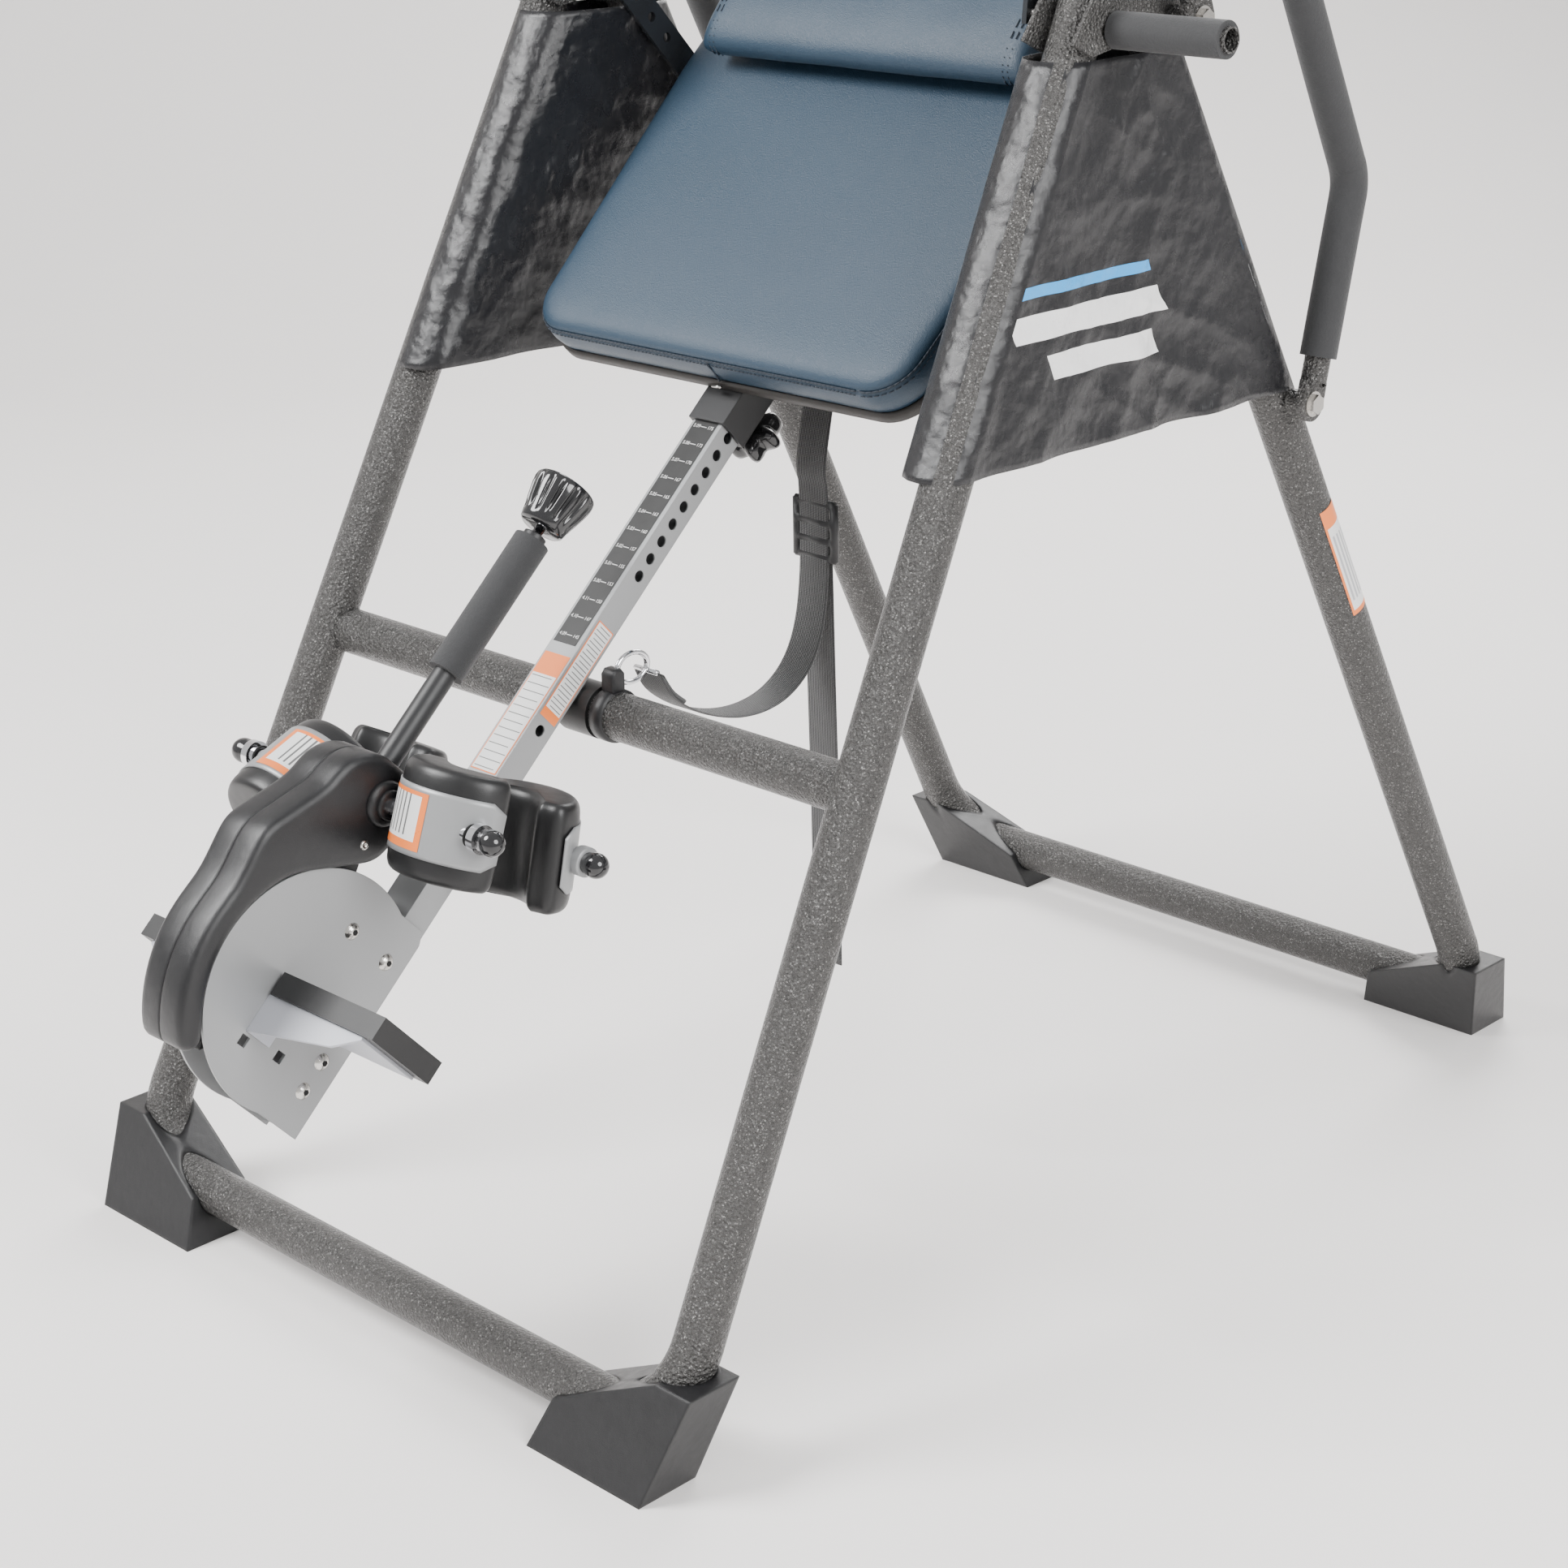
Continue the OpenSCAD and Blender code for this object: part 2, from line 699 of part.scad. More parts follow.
// points moved sideways off a route, so that two such rows make a ribbon's edges
function normal_at(p, i) = let (
    a = p[max(i - 1, 0)], b = p[min(i + 1, len(p) - 1)]
) [-(b - a)[1], (b - a)[0]] / norm(b - a);
function beside(p, d) = [for (i = [0:len(p) - 1]) p[i] + d * normal_at(p, i)];
function backwards(p) = [for (i = [len(p) - 1:-1:0]) p[i]];

module ribbon(route) {
    in_yz(strap_x - strap_w / 2) linear_extrude(strap_w)
        polygon(concat(beside(route, strap_t / 2), backwards(beside(route, -strap_t / 2))));
}

module tether_strap() {
    color("black") {
        ribbon(strap_route);
        ribbon(tail_route);
    }
}

module strap_buckle() {
    color("black") difference() {
        translate([strap_x - 27, -75, 632]) cube([54, 15, 56]);
        translate([strap_x - 21, -73, 600]) cube([42, 11, 100]);
    }
}

// ---- adjustment tube and ankle clamp ----

module adjustment_tube() {
    color("silver") bed_space() difference() {
        translate([-tube_w / 2, tube_foot, tube_at - tube_h / 2])
            cube([tube_w, -80 - tube_foot, tube_h]);
        translate([-tube_w / 2 + tube_wall, tube_foot - 1, tube_at - tube_h / 2 + tube_wall])
            cube([tube_w - 2 * tube_wall, -78 - tube_foot, tube_h - 2 * tube_wall]);
        for (i = [-9:12]) translate([0, pin_u - i * hole_pitch, tube_at])
            rod_x(0, tube_w, hole_d / 2);
        translate([0, -714, tube_at]) rod_x(0, tube_w, hole_d / 2);
        translate([0, rear_rod_u, rear_rod_w]) rod_x(-tube_w, tube_w, rod_d / 2);
        for (p = ankle_bolt_spots) translate([0, p[0], p[1]]) rod_x(-tube_w, tube_w, 4.05);
    }
}

plate_back = tube_at - tube_h / 2;
// round-edged side plate, drawn along and out of the bed
function plate_outline(r) = concat(
    [[clamp_u - 0.97 * r, plate_back]],
    arc([clamp_u, clamp_w], r, 194, -21, 54),
    [[-926, plate_back + 6], [-938, plate_back]]
);

ankle_bolt_spots = [
    [-966, clamp_w - 2], [-968, tube_at + 8], [-1072, tube_at + 8], [-1102, tube_at + 8]
];

module ankle_plate() {
    color([0.6, 0.61, 0.62]) bed_side(plate_x) linear_extrude(plate_t) difference() {
        polygon(plate_outline(plate_r));
        translate([clamp_u, clamp_w]) circle(4.05);
        for (p = ankle_bolt_spots) translate(p) circle(4.05);
        for (p = [[-1098, clamp_w + 34], [-1091, clamp_w - 10]])
            translate(p - [5, 5]) square(10);
    }
}

rack_teeth = 22;
rack_from = 62;
rack_step = 4;
// toothed sector between the plates that the clamp's pawl catches
module ratchet_rack() {
    color([0.5, 0.5, 0.5]) bed_side(-4) linear_extrude(8) difference() {
        polygon(concat(
            [for (i = [0:rack_teeth], e = [0, 1]) [clamp_u, clamp_w]
                + (e == 0 ? 108 : 103) * [cos(rack_from + rack_step * (i + e * 0.15)),
                    sin(rack_from + rack_step * (i + e * 0.15))]],
            arc([clamp_u, clamp_w], 84, rack_from + rack_step * rack_teeth, rack_from, 12)
        ));
    }
}

module footrest_bracket() {
    color([0.75, 0.76, 0.78]) bed_space() {
        translate([plate_x + plate_t, -1056, clamp_w - 36]) cube([128, 3, 74]);
        translate([plate_x + plate_t, -1056, clamp_w + 35.5])
            linear_extrude(2.5) polygon([[0, 0], [128, 0], [100, -16], [0, -34]]);
        translate([plate_x + plate_t, -1090, clamp_w + 8]) cube([3, 34, 30]);
    }
}

module footrest_pad() {
    color([0.1, 0.1, 0.1]) bed_space()
        translate([plate_x + plate_t + 5, -1053, clamp_w - 40]) cube([138, 22, 82]);
}

// waisted ankle cushion about an axis along X
module cushion(x) {
    waist = 9;
    r = cushion_d / 2;
    bow = (cushion_l * cushion_l / 4 + waist * waist) / (2 * waist);
    translate([x, 0, 0]) rotate([0, 90, 0]) rotate_extrude() difference() {
        translate([rod_d / 2 + 0.05, 0]) square([r - rod_d / 2, cushion_l]);
        translate([r + bow - waist, cushion_l / 2]) circle(bow, $fn = 96);
    }
}

cushion_x = 40;

module rear_rod() {
    color("silver") bed_space() translate([0, rear_rod_u, rear_rod_w]) {
        rod_x(-rod_half, rod_half, rod_d / 2);
        for (sx = [-1, 1]) {
            translate([sx * rod_half, 0, 0]) sphere(r = 11);
            translate([sx > 0 ? cushion_x + cushion_l + 1 : -cushion_x - cushion_l - 9, 0, 0])
                rod_x(0, 8, 13);
        }
    }
}

module rear_cushion() {
    color([0.08, 0.08, 0.08]) bed_space() translate([0, rear_rod_u, rear_rod_w])
        cushion(cushion_x);
}

module front_rod() {
    color("silver") bed_space() translate([0, front_rod_u, front_rod_w]) {
        rod_x(-rod_half, rod_half, rod_d / 2);
        for (sx = [-1, 1]) {
            translate([sx * rod_half, 0, 0]) sphere(r = 11);
            translate([sx > 0 ? cushion_x + cushion_l + 1 : -cushion_x - cushion_l - 9, 0, 0])
                rod_x(0, 8, 13);
        }
    }
}

module front_cushion() {
    color([0.08, 0.08, 0.08]) bed_space() translate([0, front_rod_u, front_rod_w])
        cushion(cushion_x);
}

module ankle_bolts() {
    color("silver") bed_space() {
        for (p = concat(ankle_bolt_spots, [[clamp_u, clamp_w]])) translate([0, p[0], p[1]]) {
            rod_x(-plate_x - plate_t, plate_x + plate_t, 4);
            // button heads
            for (sx = [-1, 1]) translate([sx * (plate_x + plate_t), 0, 0])
                rotate([0, sx * 90, 0]) rotate_extrude() polygon(concat(
                    [[0, 0]], arc([0, -5], sqrt(89), 32.01, 75, 5), [[3, 3], [0, 3]]
                ));
        }
    }
}

// outline of the clamp's housing, drawn along and out of the bed
function housing_outline() = let (c = [clamp_u, clamp_w]) concat(
    arc(c, 141, 142, 78, 10),
    [[-948, clamp_w + 148]],
    arc([front_rod_u - 12, front_rod_w + 16], 46, 100, 0, 8),
    [[front_rod_u + 34, front_rod_w - 26], [front_rod_u - 4, front_rod_w - 38]],
    [[front_rod_u - 44, front_rod_w - 32]],
    arc(c, plate_r + 4, 52, 142, 12)
);

// one shell of the housing; the left one is the same, mirrored
module housing() {
    color([0.07, 0.07, 0.07]) bed_space() difference() {
        in_yz(0.1) linear_extrude(housing_half) polygon(housing_outline());
        // hollow for the arm and pawl
        in_yz(0) linear_extrude(housing_half - 4) polygon(concat(
            arc([clamp_u, clamp_w], 137, 138, 78, 10),
            [[-950, clamp_w + 143]],
            arc([front_rod_u - 12, front_rod_w + 16], 42, 100, 0, 8),
            [[front_rod_u + 30, front_rod_w - 22], [front_rod_u - 36, front_rod_w - 27]],
            [[front_rod_u - 50, front_rod_w - 38]],
            arc([clamp_u, clamp_w], plate_r + 3, 50, 138, 12)
        ));
        translate([0, front_rod_u, front_rod_w]) rod_x(-1, 60, rod_d / 2);
        translate([0, front_rod_u, lever_w]) rotate([-90, 0, 0]) cylinder(r = 11.1, h = 60);
    }
}

// clamp arm between the plates, with the lever tube welded to it
module lever_tube() {
    color([0.1, 0.1, 0.1]) bed_space() {
        difference() {
            union() {
                in_yz(-14) linear_extrude(28) difference() {
                    polygon([
                        [clamp_u - 8, clamp_w - 8], [clamp_u + 14, clamp_w - 10],
                        [-900, front_rod_w - 22], [-838, lever_w - 18],
                        [-838, lever_w + 18], [-884, lever_w + 22], [clamp_u - 10, clamp_w + 12]
                    ]);
                }
                translate([0, -842, lever_w]) rotate([-90, 0, 0])
                    cylinder(r = 11, h = palm_u - 8 + 842);
            }
            in_yz(-4.5) linear_extrude(9) translate([clamp_u, clamp_w]) circle(112);
            translate([0, clamp_u, clamp_w]) rod_x(-20, 20, 4.05);
            translate([0, front_rod_u, front_rod_w]) rod_x(-20, 20, rod_d / 2);
            translate([0, -842, lever_w]) rotate([-90, 0, 0])
                cylinder(r = 5.05, h = 300);
        }
        // ears on the pivot bolt
        for (x = [-14, 4.5]) in_yz(x) linear_extrude(9.5) difference() {
            translate([clamp_u, clamp_w]) circle(14);
            translate([clamp_u, clamp_w]) circle(4.05);
        }
    }
}

module lever_foam() {
    color([0.12, 0.12, 0.12]) bed_space() translate([0, -731, lever_w]) rotate([-90, 0, 0])
        linear_extrude(palm_u - 14 + 731) ring(17, 11);
}

// palm button with its push rod down the lever tube
module palm_knob() {
    color([0.05, 0.05, 0.05]) bed_space() translate([0, palm_u, lever_w]) rotate([-90, 0, 0]) {
        translate([0, 0, -262]) cylinder(r = 5, h = 264);
        intersection() {
            rotate_extrude() polygon(concat(
                [[0, 0], [21, 0]],
                arc([10, 34], 21, -30, 40, 8),
                arc([0, 0], 54, 64, 90, 8)
            ));
            difference() {
                cylinder(r = 40, h = 60);
                for (a = [0:24:336]) rotate([0, 0, a]) translate([35, 0, 8])
                    rotate([0, -14, 0]) cylinder(r = 4, h = 40);
            }
        }
    }
}

centred() side(true) front_leg();  // front_leg_right
centred() side(false) front_leg();  // front_leg_left
centred() front_floor_tube();
centred() front_crossbar();
centred() side(true) front_foot();  // front_foot_right
centred() side(false) front_foot();  // front_foot_left
centred() side(true) apex_bracket();  // apex_bracket_right
centred() side(false) apex_bracket();  // apex_bracket_left
centred() bumper();
centred() tether_ring();
centred() side_grips();
centred() side(true) pivot_latch();  // pivot_latch_right
centred() side(false) pivot_latch();  // pivot_latch_left
centred() side(true) side_cover();  // side_cover_right
centred() side(false) side_cover();  // side_cover_left
centred() fold_links_front();
centred() side(true) rear_leg();  // rear_leg_right
centred() side(false) rear_leg();  // rear_leg_left
centred() rear_floor_tube();
centred() side(true) rear_foot();  // rear_foot_right
centred() side(false) rear_foot();  // rear_foot_left
centred() side(true) handlebar();  // handlebar_right
centred() side(false) handlebar();  // handlebar_left
centred() side(true) handlebar_foam();  // handlebar_foam_right
centred() side(false) handlebar_foam();  // handlebar_foam_left
centred() fold_links_rear();
centred() hinge_bolts();
centred() handlebar_bolts();
centred() bed_frame();
centred() bed_board();
centred() bed_pad();
centred() lumbar_pillow();
centred() side(true) pivot_arm();  // pivot_arm_right
centred() side(false) pivot_arm();  // pivot_arm_left
centred() adjustment_sleeve();
centred() pull_pin();
centred() clamp_knob();
centred() strap_loop();
centred() tether_strap();
centred() strap_buckle();
centred() adjustment_tube();
centred() side(true) ankle_plate();  // ankle_plate_right
centred() side(false) ankle_plate();  // ankle_plate_left
centred() ratchet_rack();
centred() side(true) footrest_bracket();  // footrest_bracket_right
centred() side(false) footrest_bracket();  // footrest_bracket_left
centred() side(true) footrest_pad();  // footrest_pad_right
centred() side(false) footrest_pad();  // footrest_pad_left
centred() rear_rod();
centred() side(true) rear_cushion();  // rear_cushion_right
centred() side(false) rear_cushion();  // rear_cushion_left
centred() ankle_bolts();
centred() side(true) housing();  // housing_right
centred() side(false) housing();  // housing_left
centred() lever_tube();
centred() lever_foam();
centred() front_rod();
centred() side(true) front_cushion();  // front_cushion_right
centred() side(false) front_cushion();  // front_cushion_left
centred() palm_knob();
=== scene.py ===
"""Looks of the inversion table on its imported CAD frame. Metres, +Z up, ankle end towards -Y."""
import math

import bpy
from mathutils import Matrix, Vector, noise


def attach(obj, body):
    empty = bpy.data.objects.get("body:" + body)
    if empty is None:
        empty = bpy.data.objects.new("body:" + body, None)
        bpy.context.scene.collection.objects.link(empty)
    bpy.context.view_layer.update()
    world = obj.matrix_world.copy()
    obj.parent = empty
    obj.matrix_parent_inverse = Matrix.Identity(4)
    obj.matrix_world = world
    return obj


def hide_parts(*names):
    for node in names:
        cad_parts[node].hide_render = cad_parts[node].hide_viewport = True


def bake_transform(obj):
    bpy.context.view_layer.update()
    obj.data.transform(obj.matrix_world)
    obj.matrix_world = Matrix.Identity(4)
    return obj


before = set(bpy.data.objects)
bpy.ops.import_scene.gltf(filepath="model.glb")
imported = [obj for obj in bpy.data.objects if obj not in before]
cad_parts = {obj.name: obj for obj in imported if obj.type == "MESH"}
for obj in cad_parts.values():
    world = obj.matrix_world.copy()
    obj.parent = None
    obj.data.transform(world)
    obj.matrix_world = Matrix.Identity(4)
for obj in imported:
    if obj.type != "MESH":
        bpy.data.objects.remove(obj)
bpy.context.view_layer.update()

# ---- frame constants, in millimetres, as in the CAD ----
SHIFT = 69.15
TILT = math.radians(42.5)
TUBE = -200.3                 # adjustment tube centre, out of the bed's plane
PAD_AT, PAD_TOP = -168.0, -125.0
CLAMP = (-1031.0, TUBE + 63)
ROD_FRONT = (-863.0, TUBE + 117)
ROD_REAR = (-815.0, TUBE)
LEVER = TUBE + 115
WORLD = Matrix.Translation((0, SHIFT / 1000, 0)) @ Matrix.Scale(0.001, 4)
BED = (Matrix.Translation((0, (SHIFT - 10) / 1000, 1.165))
       @ Matrix.Rotation(TILT, 4, "X") @ Matrix.Scale(0.001, 4))


def at(x, u, w):
    """A frame with its origin at a point of bed space, axes X, along the bed and out of the bed."""
    return BED @ Matrix.Translation((x, u, w))


# ---- materials ----
def node(tree, kind, **sockets):
    n = tree.nodes.new(kind)
    for key, value in sockets.items():
        n.inputs[key.replace("_", " ")].default_value = value
    return n


def material(name, colour, rough, metal=0.0, vary=0.12, vary_scale=9.0, grain=(), spots=None,
             rough_vary=0.06, coat=0.0, sheen=0.0, specular=0.5, uv=None, soft_edge=0.0):
    """A principled material with mottled colour, varied roughness and layered bump grain."""
    m = bpy.data.materials.new(name)
    m.use_nodes = True
    t = m.node_tree
    out = t.nodes["Principled BSDF"]
    out.inputs["Metallic"].default_value = metal
    out.inputs["Coat Weight"].default_value = coat
    out.inputs["Coat Roughness"].default_value = 0.12
    out.inputs["Sheen Weight"].default_value = sheen
    out.inputs["Specular IOR Level"].default_value = specular
    where = t.nodes.new("ShaderNodeTexCoord")
    spot = where.outputs["Object"]
    tone = node(t, "ShaderNodeTexNoise", Scale=vary_scale, Detail=6.0, Roughness=0.6)
    t.links.new(spot, tone.inputs["Vector"])
    ramp = t.nodes.new("ShaderNodeMix")
    ramp.data_type = "RGBA"
    ramp.inputs[6].default_value = [c * (1 - vary) for c in colour] + [1]
    ramp.inputs[7].default_value = [min(1, c * (1 + vary)) for c in colour] + [1]
    t.links.new(tone.outputs["Fac"], ramp.inputs[0])
    shade = ramp.outputs[2]
    # spots lays light Voronoi flecks into the base colour; on hammer_paint these flecks are painted sparkle
    # glints
    if spots:
        cells = node(t, "ShaderNodeTexVoronoi", Scale=spots[0])
        t.links.new(spot, cells.inputs["Vector"])
        pick = t.nodes.new("ShaderNodeMapRange")
        pick.inputs["From Min"].default_value = spots[1]
        pick.inputs["From Max"].default_value = spots[1] + 0.12
        split = t.nodes.new("ShaderNodeSeparateColor")
        t.links.new(cells.outputs["Color"], split.inputs[0])
        t.links.new(split.outputs[0], pick.inputs["Value"])
        mix = t.nodes.new("ShaderNodeMix")
        mix.data_type = "RGBA"
        mix.inputs[7].default_value = list(spots[2]) + [1]
        t.links.new(pick.outputs[0], mix.inputs[0])
        t.links.new(shade, mix.inputs[6])
        shade = mix.outputs[2]
    t.links.new(shade, out.inputs["Base Color"])
    wear = t.nodes.new("ShaderNodeMapRange")
    wear.inputs["To Min"].default_value = max(0.02, rough - rough_vary)
    wear.inputs["To Max"].default_value = rough + rough_vary
    smear = node(t, "ShaderNodeTexNoise", Scale=vary_scale * 4, Detail=4.0)
    t.links.new(spot, smear.inputs["Vector"])
    t.links.new(smear.outputs["Fac"], wear.inputs["Value"])
    t.links.new(wear.outputs[0], out.inputs["Roughness"])
    last = None
    if soft_edge:
        last = t.nodes.new("ShaderNodeBevel")
        last.samples = 4
        last.inputs["Radius"].default_value = soft_edge
    for kind, scale, depth in grain:
        if kind == "cells":
            g = node(t, "ShaderNodeTexVoronoi", Scale=scale)
            height = g.outputs["Distance"]
        elif kind in ("ribs", "weft"):
            g = node(t, "ShaderNodeTexWave", Scale=scale)
            g.bands_direction = "X" if kind == "ribs" else "Y"
            height = g.outputs["Fac"]
        else:
            g = node(t, "ShaderNodeTexNoise", Scale=scale, Detail=3.0)
            height = g.outputs["Fac"]
        t.links.new(where.outputs["UV"] if uv else spot, g.inputs["Vector"])
        b = node(t, "ShaderNodeBump", Strength=1.0, Distance=depth)
        t.links.new(height, b.inputs["Height"])
        if last:
            t.links.new(last.outputs[0], b.inputs["Normal"])
        last = b
    if last:
        t.links.new(last.outputs[0], out.inputs["Normal"])
    return m


M = {
    # hammer_paint's light Voronoi spots are painted sparkle glints laid into the base colour
    "hammer": material("hammer_paint", (0.07, 0.068, 0.066), 0.27, 0.5, 0.2, 420.0,
                       [("cells", 330.0, 0.0022), ("noise", 800.0, 0.0012)],
                       (900.0, 0.9, (0.34, 0.335, 0.325)), 0.08),
    "silver": material("silver_paint", (0.3, 0.305, 0.31), 0.4, 0.35, 0.05, 14.0,
                       [("noise", 1800.0, 0.00005)], soft_edge=0.0012),
    "pale": material("pale_paint", (0.46, 0.47, 0.51), 0.45, 0.2, 0.06, 16.0,
                     [("noise", 1500.0, 0.00005)], soft_edge=0.0012),
    "satin": material("satin_black", (0.009, 0.009, 0.01), 0.42, 0.0, 0.25, 30.0,
                      [("noise", 1600.0, 0.00012)], soft_edge=0.002),
    "plastic": material("black_plastic", (0.009, 0.009, 0.01), 0.36, 0.0, 0.3, 22.0,
                        [("noise", 1400.0, 0.00018), ("noise", 90.0, 0.0003)],
                        (260.0, 0.985, (0.03, 0.03, 0.03)), 0.1, soft_edge=0.004),
    "gloss": material("gloss_black", (0.012, 0.012, 0.013), 0.12, 0.0, 0.2, 40.0,
                      [("noise", 300.0, 0.00005)], None, 0.05, 0.4),
    "rubber": material("black_rubber", (0.008, 0.008, 0.0085), 0.38, 0.0, 0.25, 26.0,
                       [("noise", 1100.0, 0.0001)], None, 0.07),
    "foam": material("grip_foam", (0.022, 0.0225, 0.024), 0.75, 0.0, 0.15, 60.0,
                     [("cells", 1500.0, 0.0003), ("noise", 400.0, 0.0004)], None, 0.05, 0, 0.15),
    "chrome": material("chrome", (0.78, 0.78, 0.8), 0.07, 1.0, 0.03, 20.0,
                       [("noise", 60.0, 0.00003)], None, 0.03),
    "zinc": material("zinc", (0.62, 0.6, 0.57), 0.26, 1.0, 0.08, 60.0,
                     [("noise", 500.0, 0.00008)], None, 0.06),
    "dark_steel": material("dark_steel", (0.06, 0.065, 0.072), 0.16, 0.7, 0.2, 24.0,
                           [("noise", 300.0, 0.00006)], None, 0.06),
    "vinyl": material("blue_vinyl", (0.017, 0.04, 0.068), 0.42, 0.0, 0.08, 7.0,
                      [("cells", 1300.0, 0.00022), ("noise", 420.0, 0.0002)], None, 0.05),
    "thread": material("dark_thread", (0.012, 0.02, 0.032), 0.6, 0.0, 0.2, 90.0,
                       [("noise", 2500.0, 0.0002)]),
    "board": material("black_board", (0.02, 0.017, 0.015), 0.6, 0.0, 0.35, 60.0,
                      [("noise", 500.0, 0.0003)]),
    "web": material("webbing", (0.007, 0.007, 0.0075), 0.55, 0.0, 0.2, 60.0,
                    [("ribs", 150.0, 0.0007), ("weft", 260.0, 0.0004)], None, 0.05, 0, 0.3,
                    0.5, True),
    "white": material("label_white", (0.75, 0.75, 0.74), 0.3, 0.0, 0.03, 30.0,
                      [("noise", 200.0, 0.00003)]),
    "orange": material("label_orange", (0.85, 0.2, 0.035), 0.3, 0.0, 0.05, 30.0,
                       [("noise", 200.0, 0.00003)]),
    "ink": material("label_ink", (0.12, 0.12, 0.12), 0.4, 0.0, 0.1, 50.0,
                    [("noise", 200.0, 0.00003)]),
    "ink_black": material("scale_black", (0.01, 0.01, 0.01), 0.35, 0, 0.2, 30.0,
                          [("noise", 300.0, 0.00003)]),
    "ink_soft": material("soft_ink", (0.4, 0.4, 0.42), 0.35, 0, 0.1, 30.0,
                         [("noise", 300.0, 0.00003)]),
    # near-black painted shade for holes and socket recesses, where only shade falls
    "hole": material("hole_painted_shade", (0.004, 0.004, 0.004), 0.8, 0.0, 0.1, 50.0,
                     [("noise", 300.0, 0.0001)]),
}


def nylon():
    """Shiny black coated nylon: fine weave, soft crumple, and plain printed stripes on the outer face."""
    m = material("cover_nylon", (0.005, 0.005, 0.0065), 0.27, 0.0, 0.25, 12.0,
                 [("noise", 17.0, 0.009), ("noise", 60.0, 0.0014), ("cells", 1900.0, 0.0001)],
                 None, 0.08, 0, 0.1)
    t = m.node_tree
    out = t.nodes["Principled BSDF"]
    base = out.inputs["Base Color"].links[0].from_socket
    split = t.nodes.new("ShaderNodeSeparateXYZ")
    uv = t.nodes.new("ShaderNodeTexCoord")
    t.links.new(uv.outputs["UV"], split.inputs[0])

    def inside(axis, low, high):
        a = t.nodes.new("ShaderNodeMath")
        a.operation = "COMPARE"
        t.links.new(split.outputs[axis], a.inputs[0])
        a.inputs[1].default_value = (low + high) / 2
        a.inputs[2].default_value = (high - low) / 2
        return a.outputs[0]

    for colour, u0, u1, v0, v1 in (((0.8, 0.8, 0.8), 0.13, 0.34, 0.105, 0.128),
                                   ((0.8, 0.8, 0.8), 0.16, 0.31, 0.068, 0.091),
                                   ((0.03, 0.32, 0.72), 0.13, 0.34, 0.142, 0.152)):
        both = t.nodes.new("ShaderNodeMath")
        both.operation = "MULTIPLY"
        t.links.new(inside(0, u0, u1), both.inputs[0])
        t.links.new(inside(1, v0, v1), both.inputs[1])
        mix = t.nodes.new("ShaderNodeMix")
        mix.data_type = "RGBA"
        t.links.new(both.outputs[0], mix.inputs[0])
        t.links.new(base, mix.inputs[6])
        mix.inputs[7].default_value = list(colour) + [1]
        base = mix.outputs[2]
    t.links.new(base, out.inputs["Base Color"])
    return m


M["nylon"] = nylon()


# ---- mesh helpers ----
def piece(name, verts, faces, look, body, place=WORLD, uvs=None, looks=None, slot=None):
    me = bpy.data.meshes.new(name)
    me.from_pydata([place @ Vector(v) for v in verts], [], faces)
    for extra in looks or [look]:
        me.materials.append(M[extra])
    for p in me.polygons:
        p.use_smooth = True
    if uvs:
        layer = me.uv_layers.new(name="UVMap")
        for loop in me.loops:
            layer.data[loop.index].uv = uvs[loop.vertex_index]
    me.update()
    o = bpy.data.objects.new(name, me)
    bpy.context.scene.collection.objects.link(o)
    if body:
        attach(o, body)
    return o


def loft(rows, closed=True, cap=True):
    """Vertices and faces of a surface through rows of points; each row is a ring where closed."""
    n = len(rows[0])
    verts = [p for row in rows for p in row]
    faces = []
    for i in range(len(rows) - 1):
        for j in range(n if closed else n - 1):
            k = (j + 1) % n
            faces.append((i * n + j, i * n + k, (i + 1) * n + k, (i + 1) * n + j))
    if cap and closed:
        faces.append(tuple(range(n - 1, -1, -1)))
        faces.append(tuple((len(rows) - 1) * n + j for j in range(n)))
    return verts, faces


def lathe(profile, n=48, wave=None):
    """Rings about +Z from (radius, height) pairs; wave(angle, height, radius) changes the radius."""
    rows = []
    for r, h in profile:
        ring = []
        for j in range(n):
            a = 2 * math.pi * j / n
            q = wave(a, h, r) if wave else r
            ring.append((q * math.cos(a), q * math.sin(a), h))
        rows.append(ring)
    return loft(rows)


def tube(path, r, n=16, flat=1.0, side=Vector((1, 0, 0))):
    """A round or flattened bar along a path."""
    rows = []
    for i, p in enumerate(path):
        d = (Vector(path[min(i + 1, len(path) - 1)]) - Vector(path[max(i - 1, 0)])).normalized()
        b = d.cross(side).normalized()
        s = b.cross(d)
        rows.append([tuple(Vector(p) + r * (math.cos(a) * s + flat * math.sin(a) * b))
                     for a in (2 * math.pi * j / n for j in range(n))])
    return loft(rows)


def torus(centre, big, small, n=40, k=12, stretch=1.0):
    """A ring about the X axis, stretched along Y."""
    rows = []
    for i in range(n + 1):
        a = 2 * math.pi * i / n
        ring = []
        for j in range(k):
            b = 2 * math.pi * j / k
            q = big + small * math.cos(b)
            p, s, h = q * math.cos(a) * stretch, q * math.sin(a), small * math.sin(b)
            ring.append((centre[0] + h, centre[1] + p, centre[2] + s))
        rows.append(ring)
    return loft(rows, cap=False)


def arc(c, r, a1, a2, n=12):
    return [(c[0] + r * math.cos(math.radians(a1 + (a2 - a1) * i / n)),
             c[1] + r * math.sin(math.radians(a1 + (a2 - a1) * i / n))) for i in range(n + 1)]


def inset(outline, d):
    """A closed anticlockwise outline moved inwards by d."""
    n = len(outline)
    moved = []
    for i, p in enumerate(outline):
        a, b = Vector(outline[i - 1]), Vector(outline[(i + 1) % n])
        e1, e2 = (Vector(p) - a).normalized(), (b - Vector(p)).normalized()
        m = Vector((-(e1.y + e2.y), e1.x + e2.x))
        m = m.normalized() / max(0.5, math.cos(e1.angle(e2, 0.0) / 2))
        moved.append((p[0] + d * m.x, p[1] + d * m.y))
    return moved


